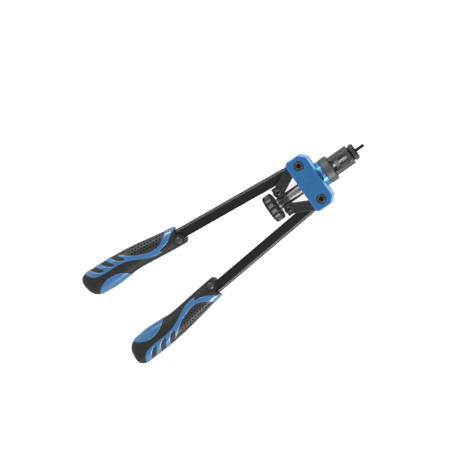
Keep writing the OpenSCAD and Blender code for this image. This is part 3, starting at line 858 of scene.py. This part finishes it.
def prism(name, outline, half_height):
    """An upright solid over an outline of points (along, outwards, corner) in metres"""
    curve = bpy.data.curves.new(name, "CURVE")
    curve.dimensions = "2D"
    curve.fill_mode = "BOTH"
    curve.extrude = half_height
    curve.resolution_u = 6
    line = curve.splines.new("BEZIER")
    line.bezier_points.add(len(outline) - 1)
    line.use_cyclic_u = True
    for knot, (along, outwards, corner) in zip(line.bezier_points, outline):
        knot.co = (along, outwards, 0)
        knot.handle_left_type = "VECTOR" if corner else "AUTO"
        knot.handle_right_type = knot.handle_left_type
    activate(show(name, curve))
    bpy.ops.object.convert(target="MESH")
    piece = bpy.context.object
    tidy_mesh(piece, MERGE)
    return piece


def bends(points, shift=0):
    """Points that an outline bends smoothly through"""
    return [(along + shift, outwards, False) for along, outwards in points]


def corners(*points):
    """Points where an outline turns a corner"""
    return [(along, outwards, True) for along, outwards in points]


def wave_outline():
    """Outline of the wave inlay, with its fingers between the stripes"""
    outline = corners((WAVE_ENDS[0], PAST_EDGE)) + bends(WAVE_TOP)
    for start in STRIPE_STARTS:
        opens, closes = (start + place for place in STRIPE_ENDS)
        if start == STRIPE_STARTS[0]:
            outline += bends(STRIPE[1:], start)
        else:
            outline += corners((opens, PAST_EDGE)) + bends(STRIPE, start)
        outline += corners((closes, PAST_EDGE))
    outline += corners((WAVE_ENDS[1], PAST_EDGE)) + bends(WAVE_BOTTOM)
    outline += corners(*WAVE_SPUR) + bends(WAVE_FRONT)
    return outline + corners(LIP_CORNER, (LIP_CORNER[0], PAST_EDGE))


def inlay_outlines(grip):
    """Outlines of the wave and of the belly inlay, in metres in the arm's frame"""
    front, back = (corners((end, -PAST_EDGE)) for end in BELLY_ENDS)
    return [
        [(grip.mouth + along * MM, outwards * MM, corner) for along, outwards, corner in outline]
        for outline in (wave_outline(), front + bends(BELLY) + back)
    ]


def arc(centre, radius, start, end, count):
    """Points of an arc, by its angles in degrees"""
    angles = [math.radians(start + (end - start) * i / (count - 1)) for i in range(count)]
    return [(centre[0] + radius * math.cos(a), centre[1] + radius * math.sin(a), True) for a in angles]


# Step of the mouth beside the arm, and points round the ear and its toe
LIP_STEP = 0.4 * MM
EAR_POINTS = 6
TOE_POINTS = 14


def mouth_outline(grip, lip):
    """Outline of a grip in plan: its mouth with the lip, and the ear with its toe"""
    far = grip.mouth + 2 * grip.size
    wide = 2 * grip.palm_wide
    rivet = (grip.mouth + grip.rivet_in, -grip.rivet_out)
    toe = (rivet[0] + grip.toe_r - grip.toe_reach, rivet[1] + grip.toe_r - grip.ear_r)
    reach = math.dist(rivet, toe)
    turn = math.degrees(math.atan2(toe[1] - rivet[1], toe[0] - rivet[0])) % 360
    tangent = turn - math.degrees(math.acos((grip.ear_r - grip.toe_r) / reach))
    return [
        (far, wide, True), (grip.mouth - lip, wide, True),
        (grip.mouth - lip, grip.arm_w / 2 + LIP_STEP, True), (grip.mouth, grip.arm_w / 2, True),
        *arc(rivet, grip.ear_r, 90, tangent, EAR_POINTS),
        *arc(toe, grip.toe_r, tangent, 270, TOE_POINTS),
        (rivet[0], -wide, True), (far, -wide, True),
    ]


def wave_edge(t):
    """Outward place of the wave's upper edge at t, in mm"""
    for (t0, n0), (t1, n1) in zip(WAVE_TOP, WAVE_TOP[1:]):
        if t0 <= t <= t1:
            return n0 + (n1 - n0) * (t - t0) / (t1 - t0)
    return math.inf


def surface_height(grip, along, outwards):
    """Height of the grip's surface over a point in plan"""
    t = along
    for _ in range(LEAN_ROUNDS):
        t = along - slant(grip, t) * outwards
    middle, half, thick = section(grip, t, 0)
    share = min(1, abs(outwards - middle) / half)
    return thick * (1 - share ** (2 / SECTION_POWER)) ** (SECTION_POWER / 2)


def dimple_places(grip):
    """Places of the dimples on the pad: staggered straight rows, clear of its edges"""
    places = []
    for row in range(DIMPLE_ROWS):
        for i in range(DIMPLES_IN_ROW):
            along = DIMPLE_START[0] + (i + 0.5 * (row % 2)) * grip.dimple_pitch
            lift = DIMPLE_SLOPE * (along - DIMPLE_LEVEL)
            outwards = DIMPLE_START[1] - row * grip.dimple_rows + lift
            low = wave_edge(along / MM) * MM + DIMPLE_ROOM[0]
            high = palm_reach(grip, along) - DIMPLE_ROOM[1]
            if low <= outwards <= high:
                places.append((along, outwards, surface_height(grip, along, outwards)))
    return places


def dimple_balls(grip):
    """One mesh of small balls that press the dimples into both faces of the pad"""
    small = 0.1 * MM
    lift = grip.dimple_r - grip.dimple_depth
    bpy.ops.mesh.primitive_ico_sphere_add(
        subdivisions=2, radius=grip.dimple_r, enter_editmode=True, location=(0, 0, -1)
    )
    piece = bpy.context.object
    piece.name = "dimple_balls"
    bpy.ops.mesh.delete(type="VERT")
    for along, outwards, height in dimple_places(grip):
        rise_x = surface_height(grip, along + small, outwards) - height
        rise_y = surface_height(grip, along, outwards + small) - height
        normal = Vector((-rise_x / small, -rise_y / small, 1)).normalized()
        centre = Vector((grip.mouth + along, outwards, height)) + lift * normal
        for face in (1, -1):
            bpy.ops.mesh.primitive_ico_sphere_add(
                subdivisions=2, radius=grip.dimple_r, location=(centre.x, centre.y, face * centre.z)
            )
    close_edit()
    piece.data.transform(piece.matrix_world)
    piece.matrix_world = Matrix.Identity(4)
    return piece


def arm_matrix(side):
    """From the frame of an arm to the tool's frame"""
    grip = settings().grip
    pivot = JOINTS[side + "_arm_swing"]["pos_m"]
    flip = Matrix.Diagonal((1, -1, 1, 1))
    turn = Matrix.Rotation(math.pi - grip.arm_angle, 4, "Z")
    placed = Matrix.Translation((pivot[0], abs(pivot[1]), pivot[2])) @ turn @ flip
    return placed if side == UPPER else flip @ placed


def place_on_arm(piece, side):
    """Move a piece that was modelled in an arm's frame to its place"""
    matrix = arm_matrix(side)
    piece.data.transform(matrix)
    if matrix.determinant() < 0:
        piece.data.flip_normals()


def on_both_arms(model, ending, slot, node_ending):
    """A copy of a piece modelled in an arm's frame on each arm, in place of the model"""
    for side in SIDES:
        piece = copy_of(model, side + ending)
        place_on_arm(piece, side)
        seat(piece, side + "_arm", slot, side + node_ending)
    bpy.data.objects.remove(model)


# How much wider than an arm its channel in the grip is, and points round the rivet's boss
CHANNEL_SLACK = 0.1 * MM
BOSS_POINTS = 64


class RIVETTOOL_OT_grips(bpy.types.Operator):
    """Model the moulded grips with their recesses, ears and dimpled palm pads"""

    bl_idname = "rivettool.grips"
    bl_label = "Grips"

    def execute(self, context):
        grip = settings().grip
        colour = settings().colour
        tall = 2 * grip.thick
        floor = grip.rivet_floor
        body = grip_loft("grip_body", grip, 0)
        boolean(body, prism("mouth", mouth_outline(grip, grip.lip_core), tall), "INTERSECT")
        boolean(body, self.rivet_drum(grip, grip.rivet_rim, -floor, floor), "UNION")
        for outline in inlay_outlines(grip):
            recess = prism("recess", outline, tall)
            boolean(recess, grip_loft("core", grip, -grip.depth), "DIFFERENCE")
            boolean(body, recess, "DIFFERENCE")
        boolean(body, self.channel(grip), "DIFFERENCE")
        boolean(body, self.rivet_drum(grip, grip.rivet_seat, floor, tall), "DIFFERENCE")
        boolean(body, self.rivet_drum(grip, grip.rivet_seat, -tall, -floor), "DIFFERENCE")
        # Near-black painted shade on the dimples' floors
        dark = surface("dimple_floor", colour.dimple)
        paint(body, surface("grip_rubber", colour.grip), surface("palm_rubber", colour.pad), dark)
        self.paint_pad(body, grip)
        balls = dimple_balls(grip)
        paint(balls, dark)
        boolean(body, balls, "DIFFERENCE")
        tidy_mesh(body, GRIP_MERGE)
        smooth(body, degrees=35)
        on_both_arms(body, "_grip_body", "grip_black", "_grip")
        return {"FINISHED"}

    def paint_pad(self, body, grip):
        """The dimpled pad, between the wave's upper edge and the palm edge, in its own finish"""
        for face in body.data.polygons:
            along = (face.center.x - grip.mouth) / MM
            if face.center.y / MM > wave_edge(along):
                face.material_index = SECOND

    def channel(self, grip):
        """The channel that takes the arm"""
        long = 2 * (arm_reach() - grip.mouth)
        size = (long, grip.arm_w + CHANNEL_SLACK, grip.arm_t + CHANNEL_SLACK)
        return block((grip.mouth, 0, 0), size)

    def rivet_drum(self, grip, radius, low, high):
        """An upright drum about the rivet"""
        place = (grip.mouth + grip.rivet_in, -grip.rivet_out, (low + high) / 2)
        return drum(place, radius, high - low, BOSS_POINTS)


def arm_reach():
    """Length of an arm from its pivot, from the frame"""
    low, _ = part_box("upper_arm")
    pivot = JOINTS["upper_arm_swing"]["pos_m"]
    return (pivot[0] - low.x) / math.cos(settings().grip.arm_angle)


class RIVETTOOL_OT_inlays(bpy.types.Operator):
    """Model the coloured inlays of the grips, a little proud and softly rounded"""

    bl_idname = "rivettool.inlays"
    bl_label = "Grip Inlays"

    def execute(self, context):
        grip = settings().grip
        tall = 2 * grip.thick
        parts = []
        for outline in inlay_outlines(grip):
            part = prism("inlay", outline, tall)
            skin = grip_loft("skin", grip, grip.proud)
            boolean(skin, prism("mouth", mouth_outline(grip, grip.lip), tall), "INTERSECT")
            boolean(part, skin, "INTERSECT")
            boolean(part, grip_loft("core", grip, -grip.depth), "DIFFERENCE")
            apply_modifier(part, "REMESH", mode="VOXEL", voxel_size=grip.inlay_grid)
            apply_modifier(part, "SMOOTH", factor=0.5, iterations=8)
            parts.append(part)
        activate(parts[0])
        for part in parts:
            part.select_set(True)
        bpy.ops.object.join()
        inlay = bpy.context.object
        paint(inlay, surface("inlay_blue", settings().colour.inlay))
        smooth(inlay, degrees=60)
        on_both_arms(inlay, "_grip_inlay", "grip_blue", "_grip_inlays")
        return {"FINISHED"}


class RIVETTOOL_OT_grip_rivets(bpy.types.Operator):
    """Dress the domed rivets of the grips"""

    bl_idname = "rivettool.grip_rivets"
    bl_label = "Grip Rivets"

    def execute(self, context):
        colour = settings().colour
        # Rivet edges take the links' edge colour: wear and painted highlight
        steel = edged_with_wear_and_highlight("rivet_steel", colour.rivet, colour.link_edge)
        for side in SIDES:
            node = side + "_grip_rivet"
            piece = rounded_copy(node, side + "_rivet", steel, RIVET_EDGE, degrees=40)
            seat(piece, side + "_arm", "rivet_black", node)
        return {"FINISHED"}


# Where an arm's bar starts behind its pivot, and how far the eye laps into it
BAR_START = 16 * MM
BAR_LAP = 1 * MM


class RIVETTOOL_OT_arms(bpy.types.Operator):
    """Model the arms: black lacquer, broad round edges outside and sharp ones inside"""

    bl_idname = "rivettool.arms"
    bl_label = "Arms"

    def execute(self, context):
        colour = settings().colour
        lacquer = edged_with_wear_and_highlight("black_lacquer", colour.arm, colour.arm_edge)
        steel = bright_steel()
        for side in SIDES:
            piece = merged_copy(side + "_arm", side + "_lever", lacquer)
            self.keep_eye(piece, side)
            boolean(piece, self.bar(side), "UNION")
            round_edges(piece, FINE_EDGE, segments=2, degrees=40)
            seat(piece, side + "_arm", "black_steel", side + "_arm")
            paint(frame["nodes"][side + "_toggle_pin"], steel)
        return {"FINISHED"}

    def keep_eye(self, piece, side):
        """Cut the arm off behind its toggle pin, which leaves its eye"""
        matrix = arm_matrix(side)
        along = matrix.to_3x3() @ Vector((1, 0, 0))
        cut(piece, matrix @ Vector((BAR_START + BAR_LAP, 0, 0)), along)

    def bar(self, side):
        """The rest of the arm: a bar with broad round edges outside and sharp ones inside"""
        grip = settings().grip
        end = arm_reach()
        bar = block(((BAR_START + end) / 2, 0, 0), (end - BAR_START, grip.arm_w, grip.arm_t))

        def outside(line):
            """Whether an edge runs along the outside of the arm"""
            ends = [bar.data.vertices[i].co for i in line.vertices]
            return all(point.y > 0 for point in ends) and ends[0].x != ends[1].x

        bevel(bar, "edges", outside, grip.arm_round, segments=8)
        place_on_arm(bar, side)
        return bar


# How far the cutter of the head's bevels reaches above the face, and its thickness
WEDGE_OVER = 1 * MM
WEDGE_THICK = 4 * MM


class RIVETTOOL_OT_head(bpy.types.Operator):
    """Dress the anodised head, with broad bevels along its front, and what it holds"""

    bl_idname = "rivettool.head"
    bl_label = "Head"

    def execute(self, context):
        colour = settings().colour
        blue = edged_with_wear_and_highlight("anodised_blue", colour.head, colour.head_edge)
        bright = surface("cut_bevel", colour.head_cut)
        piece = merged_copy("head_block", "head_body", (*blue, bright))
        for face in (1, -1):
            for corner in (1, 0, -1):
                wedge = self.wedge(corner, face)
                paint(wedge, bright)
                boolean(piece, wedge, "DIFFERENCE")
        round_edges(piece, HEAD_EDGE, segments=3, degrees=30)
        seat(piece, "head", "blue_head", "head_block")
        paint(frame["nodes"]["guide_bush"], surface("sintered_bronze", colour.bronze))
        paint(frame["nodes"]["pivot_spacers"], bright_steel())
        return {"FINISHED"}

    def wedge(self, corner, face):
        """What is cut off along the front, or along the front corner on one side, of one face"""
        sizes = settings().head
        _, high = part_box("head_block")
        slope = math.hypot(sizes.bevel_in, sizes.bevel_down)
        share = (sizes.bevel_down + WEDGE_OVER) / sizes.bevel_down
        out = WEDGE_THICK / 2 * sizes.bevel_down / slope - share * sizes.bevel_in / 2
        up = WEDGE_THICK / 2 * sizes.bevel_in / slope + (WEDGE_OVER - sizes.bevel_down) / 2
        turn = corner * math.pi / 4
        back = abs(corner) * sizes.corner / 2
        middle = JOINTS["upper_arm_swing"]["pos_m"][0] + sizes.front - back
        place = (
            middle + out * math.cos(turn),
            corner * (high.y - back) + out * math.sin(turn),
            face * (high.z + up),
        )
        lean = math.atan2(sizes.bevel_in, sizes.bevel_down)
        long = 3 * sizes.corner if corner else 2 * high.y
        return block(place, (WEDGE_THICK, long, share * slope), (0, -face * lean, turn))


# Depth below a screw's top at which its socket gets painted shade
SOCKET_RIM = 0.35 * MM


class RIVETTOOL_OT_screws(bpy.types.Operator):
    """Dress the pivot bolts, the link screws, their nuts and the knob's screw"""

    bl_idname = "rivettool.screws"
    bl_label = "Screws"

    def execute(self, context):
        colour = settings().colour
        steel = screw_steel("screw_steel", colour.screw)
        buttons = screw_steel("button_steel", colour.button)
        owners = {
            "pivot_bolts": "head", "pivot_nuts": "head", "link_screws": "crosshead",
            "link_nuts": "crosshead", "knob_screw": "spindle",
        }
        for node, body in owners.items():
            finish = buttons if node.startswith("link") else steel
            piece = dress(node, body, "bolt_steel", finish, FINE_EDGE)
            if node in SOCKETS:
                self.blacken_socket(piece, *SOCKETS[node])
        return {"FINISHED"}

    def blacken_socket(self, piece, joint, radius):
        """Paint the inside of each upright screw's socket near black, as painted shade"""
        centre = Vector(JOINTS[joint]["pos_m"])
        top = max(point.co.z for point in piece.data.vertices)
        for face in piece.data.polygons:
            place = face.center
            away = math.hypot(place.x - centre.x, abs(place.y) - centre.y)
            if away < radius and top / 2 < place.z < top - SOCKET_RIM:
                face.material_index = THIRD


class RIVETTOOL_OT_nose(bpy.types.Operator):
    """Dress the lock ring, the nose housing and the anvil"""

    bl_idname = "rivettool.nose"
    bl_label = "Nose"

    def execute(self, context):
        colour = settings().colour
        worn_highlit = colour.phosphate_edge
        housing = edged_with_wear_and_highlight("phosphated_steel", colour.phosphate, worn_highlit, "housing_steel")
        anvil = anvil_steel()
        finishes = {
            "lock_ring": edged_with_wear_and_highlight("phosphated_steel", colour.ring, worn_highlit, "ring_steel"),
            # The bore's walls get painted light
            "nose_housing": (*housing, surface("bore_steel", colour.bore)),
            "anvil": (anvil, anvil),
        }
        owners = {"lock_ring": "ring", "nose_housing": "nose", "anvil": "nose"}
        for node, body in owners.items():
            piece = dress(node, body, "black_oxide", finishes[node], NOSE_EDGE)
            if node == "nose_housing":
                self.paint_bore_light(piece)
        return {"FINISHED"}

    def paint_bore_light(self, housing):
        """Paint the walls of the housing's bore light, as painted light, except beside the mandrel,
        where the housing's dark colour stays as painted shade
        """
        for face in housing.data.polygons:
            away = math.hypot(face.center.y, face.center.z)
            if away < BORE_REACH and abs(face.center.y) > BORE_SHADE:
                face.material_index = THIRD


class RIVETTOOL_OT_linkage(bpy.types.Operator):
    """Dress the crosshead and the toggle links"""

    bl_idname = "rivettool.linkage"
    bl_label = "Linkage"

    def execute(self, context):
        colour = settings().colour
        steel = edged_with_wear_and_highlight("blackened_steel", colour.link, colour.link_edge)
        owners = {"crosshead": "crosshead", "upper_links": "upper_link", "lower_links": "lower_link"}
        for node, body in owners.items():
            dress(node, body, "black_steel", steel, LINK_EDGE)
        return {"FINISHED"}


# The mandrel's thread, which starts just behind the anvil's face: its profile goes along in shares
# of the pitch and out in shares of the depth
THREAD_START = -0.05 * MM
THREAD_RADIUS = 2.15 * MM
THREAD_PITCH = 0.7 * MM
THREAD_DEPTH = 0.42 * THREAD_PITCH
THREAD_PROFILE = ((0.4, 1), (0.15, 0), (0.4, -1), (0.05, 0))
THREAD_STEPS = 40
# Turns of the thread beyond each end, which are cut off again
SPARE_TURNS = 2
# The tip: its chamfer, the room round the thread, points round it, and how far its face looks forwards
TIP_CHAMFER = 0.5 * THREAD_RADIUS
TIP_SLACK = 0.05 * MM
TIP_POINTS = 48
TIP_FORWARDS = 0.9


class RIVETTOOL_OT_spindle(bpy.types.Operator):
    """Dress the drawbar, the washer and the mandrel with its thread"""

    bl_idname = "rivettool.spindle"
    bl_label = "Spindle"

    def execute(self, context):
        colour = settings().colour
        steel = bright_steel()
        for node in ("drawbar", "thrust_washer"):
            dress(node, "spindle", "bright_steel", (steel, steel), FINE_EDGE)
        polished = surface("mandrel_steel", colour.mandrel)
        shank = rounded_copy("mandrel", "mandrel_shank", (polished, polished), FINE_EDGE)
        cut(shank, (THREAD_START, 0, 0), (1, 0, 0))
        seat(shank, "spindle", "mandrel_steel", "mandrel")
        thread = self.threaded_rod("mandrel_thread", THREAD_START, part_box("mandrel")[1].x)
        paint(thread, surface("thread_steel", colour.thread))
        seat(thread, "spindle", "mandrel_steel")
        return {"FINISHED"}

    def threaded_rod(self, name, start, end):
        """A rod along the axis with a helical thread and a chamfered tip"""
        deselect()
        bpy.ops.mesh.primitive_plane_add(size=MM, enter_editmode=True)
        piece = bpy.context.object
        piece.name = name
        bpy.ops.mesh.select_all(action="SELECT")
        bpy.ops.mesh.merge(type="CENTER")
        root = THREAD_RADIUS - THREAD_DEPTH
        bpy.ops.transform.translate(value=(start - SPARE_TURNS * THREAD_PITCH, 0, root))
        for run, rise in THREAD_PROFILE:
            step = (run * THREAD_PITCH, 0, rise * THREAD_DEPTH)
            bpy.ops.mesh.extrude_region_move(TRANSFORM_OT_translate={"value": step})
        close_edit()
        apply_modifier(
            piece, "SCREW", axis="X", angle=2 * math.pi, screw_offset=THREAD_PITCH,
            steps=THREAD_STEPS, render_steps=THREAD_STEPS,
            iterations=math.ceil((end - start) / THREAD_PITCH) + 2 * SPARE_TURNS,
            use_merge_vertices=True, merge_threshold=FINE_MERGE,
        )
        tidy_mesh(piece, THREAD_MERGE)
        cut(piece, (start, 0, 0), (-1, 0, 0))
        cut(piece, (end, 0, 0), (1, 0, 0))
        tidy_mesh(piece, FINE_MERGE)
        boolean(piece, self.tip_envelope(start, end), "INTERSECT")
        smooth(piece, degrees=50)
        return piece

    def tip_envelope(self, start, end):
        """A round bar with a chamfered tip that holds a threaded rod"""
        bar = drum(
            ((start + end) / 2, 0, 0), THREAD_RADIUS + TIP_SLACK, end - start + 2 * TIP_SLACK,
            TIP_POINTS, turn=(0, math.pi / 2, 0),
        )
        bevel(bar, "polygons", lambda face: face.normal.x > TIP_FORWARDS, TIP_CHAMFER, segments=1)
        return bar


class RIVETTOOL_OT_knob(bpy.types.Operator):
    """Dress the fluted knob"""

    bl_idname = "rivettool.knob"
    bl_label = "Knob"

    def execute(self, context):
        plastic = knob_plastic()
        dress("knob", "spindle", "knob_plastic", (plastic, plastic), KNOB_EDGE, segments=3)
        return {"FINISHED"}


# Floor: its size, looks, and glow where it is seen and where it is mirrored
FLOOR_SIZE = 12
FLOOR_COLOUR = (0.9, 0.9, 0.9)
FLOOR_ROUGHNESS = 0.8
FLOOR_GRAIN = 0.2
FLOOR_TONES = (0.99, 1.01)
FLOOR_GLOW = 0.8
FLOOR_MIRRORED = 0.3
# Light: the world's level, its ceiling by the height of a reflected ray, and the lamps with their
# places, sizes and powers
WORLD_LEVEL = 0.36
CEILING = (0.35, 0.85)
CEILING_LEVEL = 0.14
LAMPS = (
    ("left_lamp", (-0.2, 0.95, 0.6), 0.35, 4.5),
    ("right_lamp", (-0.2, -0.95, 0.6), 0.35, 8),
    ("nose_lamp", (0.75, -0.15, 0.6), 0.2, 1.5),
    ("high_left_lamp", (-0.1, 0.56, 1.15), 0.12, 1),
    ("high_right_lamp", (-0.1, -0.56, 1.15), 0.12, 1),
)


class RIVETTOOL_OT_stage(bpy.types.Operator):
    """Set the floor, the light and the camera"""

    bl_idname = "rivettool.stage"
    bl_label = "Stage"

    def execute(self, context):
        scene = context.scene
        scene.view_settings.view_transform = "Standard"
        self.add_floor()
        self.light_world(scene)
        self.add_lamps()
        scene.camera = self.add_camera()
        return {"FINISHED"}

    def add_floor(self):
        """A pale floor under the tool"""
        deselect()
        bpy.ops.mesh.primitive_plane_add(size=FLOOR_SIZE, location=(0, 0, CAD_BOX[0][2]))
        floor = settle()
        floor.name = "floor"
        finish = Finish("pale_floor", FLOOR_COLOUR, 0, FLOOR_ROUGHNESS)
        finish.mottle(finish.noise(FLOOR_GRAIN), *FLOOR_TONES)
        finish.set("Emission Color", (1, 1, 1, 1))
        path = finish.add("ShaderNodeLightPath").outputs
        seen = finish.span(path["Is Camera Ray"], 0, 1, 0, FLOOR_GLOW)
        mirrored = finish.span(path["Is Glossy Ray"], 0, 1, 0, FLOOR_MIRRORED)
        finish.set("Emission Strength", finish.math("MAXIMUM", seen, mirrored))
        paint(floor, finish.material)

    def light_world(self, scene):
        """Plain soft light: white where it is seen, with a dim ceiling in reflections"""
        scene.world = bpy.data.worlds.new("studio")
        nodes = Nodes(scene.world)
        direction = nodes.add("ShaderNodeTexCoord").outputs["Generated"]
        ceiling = nodes.span(nodes.part(direction, "Z"), *CEILING, 1, CEILING_LEVEL)
        path = nodes.add("ShaderNodeLightPath").outputs
        mirrored = nodes.math("MAXIMUM", path["Is Glossy Ray"], path["Is Transmission Ray"])
        lit = nodes.span(mirrored, 0, 1, WORLD_LEVEL, ceiling)
        background = nodes.tree.nodes["Background"].inputs
        nodes.put((1, 1, 1, 1), background["Color"])
        nodes.put(nodes.math("MAXIMUM", lit, path["Is Camera Ray"]), background["Strength"])

    def add_lamps(self):
        """Soft lamps beside and high over both arms, and a smaller one off the nose"""
        for name, place, size, power in LAMPS:
            lamp = bpy.data.lights.new(name, "AREA")
            lamp.size = size
            lamp.energy = power
            piece = show(name, lamp)
            piece.location = place
            aim = Vector((settings().stage.target_x, 0, 0)) - Vector(place)
            piece.rotation_euler = aim.to_track_quat("-Z", "Y").to_euler()

    def add_camera(self):
        """A camera over the tool's face, leaning towards the nose"""
        stage = settings().stage
        data = bpy.data.cameras.new("camera")
        data.lens_unit = "FOV"
        data.angle = 2 * math.atan(stage.field / 2 / stage.distance)
        camera = show("camera", data)
        back = Vector((math.sin(stage.tilt), 0, math.cos(stage.tilt)))
        along = Vector((math.cos(stage.tilt), 0, -math.sin(stage.tilt)))
        across = Vector((0, 1, 0))
        right = math.cos(stage.roll) * along - math.sin(stage.roll) * across
        up = math.sin(stage.roll) * along + math.cos(stage.roll) * across
        turn = Matrix((right, up, back)).transposed().to_4x4()
        target = Vector((stage.target_x, stage.target_y, 0))
        camera.matrix_world = Matrix.Translation(target + stage.distance * back) @ turn
        return camera


class RIVETTOOL_PT_build(bpy.types.Panel):
    """Buttons for the pieces of the tool"""

    bl_idname = "RIVETTOOL_PT_build"
    bl_label = "Rivet Nut Tool"
    bl_space_type = "VIEW_3D"
    bl_region_type = "UI"
    bl_category = "Rivet Tool"

    def draw(self, context):
        for operator in OPERATORS:
            self.layout.operator(operator.bl_idname)
        for group in ("grip", "head", "colour", "stage"):
            box = self.layout.box()
            values = getattr(context.scene.rivet_tool, group)
            for name in values.__annotations__:
                box.prop(values, name)


OPERATORS = (
    RIVETTOOL_OT_stage,
    RIVETTOOL_OT_grips,
    RIVETTOOL_OT_inlays,
    RIVETTOOL_OT_grip_rivets,
    RIVETTOOL_OT_arms,
    RIVETTOOL_OT_head,
    RIVETTOOL_OT_screws,
    RIVETTOOL_OT_nose,
    RIVETTOOL_OT_linkage,
    RIVETTOOL_OT_spindle,
    RIVETTOOL_OT_knob,
)
GROUPS = (RivetToolGripSizes, RivetToolHeadSizes, RivetToolColours, RivetToolStage, RivetToolSettings)


def register():
    """Register the classes and the scene's settings"""
    for item in (*GROUPS, *OPERATORS, RIVETTOOL_PT_build):
        bpy.utils.register_class(item)
    bpy.types.Scene.rivet_tool = PointerProperty(type=RivetToolSettings)


def unregister():
    """Remove the settings and the classes"""
    del bpy.types.Scene.rivet_tool
    for item in reversed((*GROUPS, *OPERATORS, RIVETTOOL_PT_build)):
        bpy.utils.unregister_class(item)


def main():
    """Build the whole tool"""
    register()
    bpy.ops.rivettool.stage()
    bpy.ops.rivettool.grips()
    bpy.ops.rivettool.inlays()
    bpy.ops.rivettool.grip_rivets()
    bpy.ops.rivettool.arms()
    bpy.ops.rivettool.head()
    bpy.ops.rivettool.screws()
    bpy.ops.rivettool.nose()
    bpy.ops.rivettool.linkage()
    bpy.ops.rivettool.spindle()
    bpy.ops.rivettool.knob()


if __name__ == "__main__":
    main()
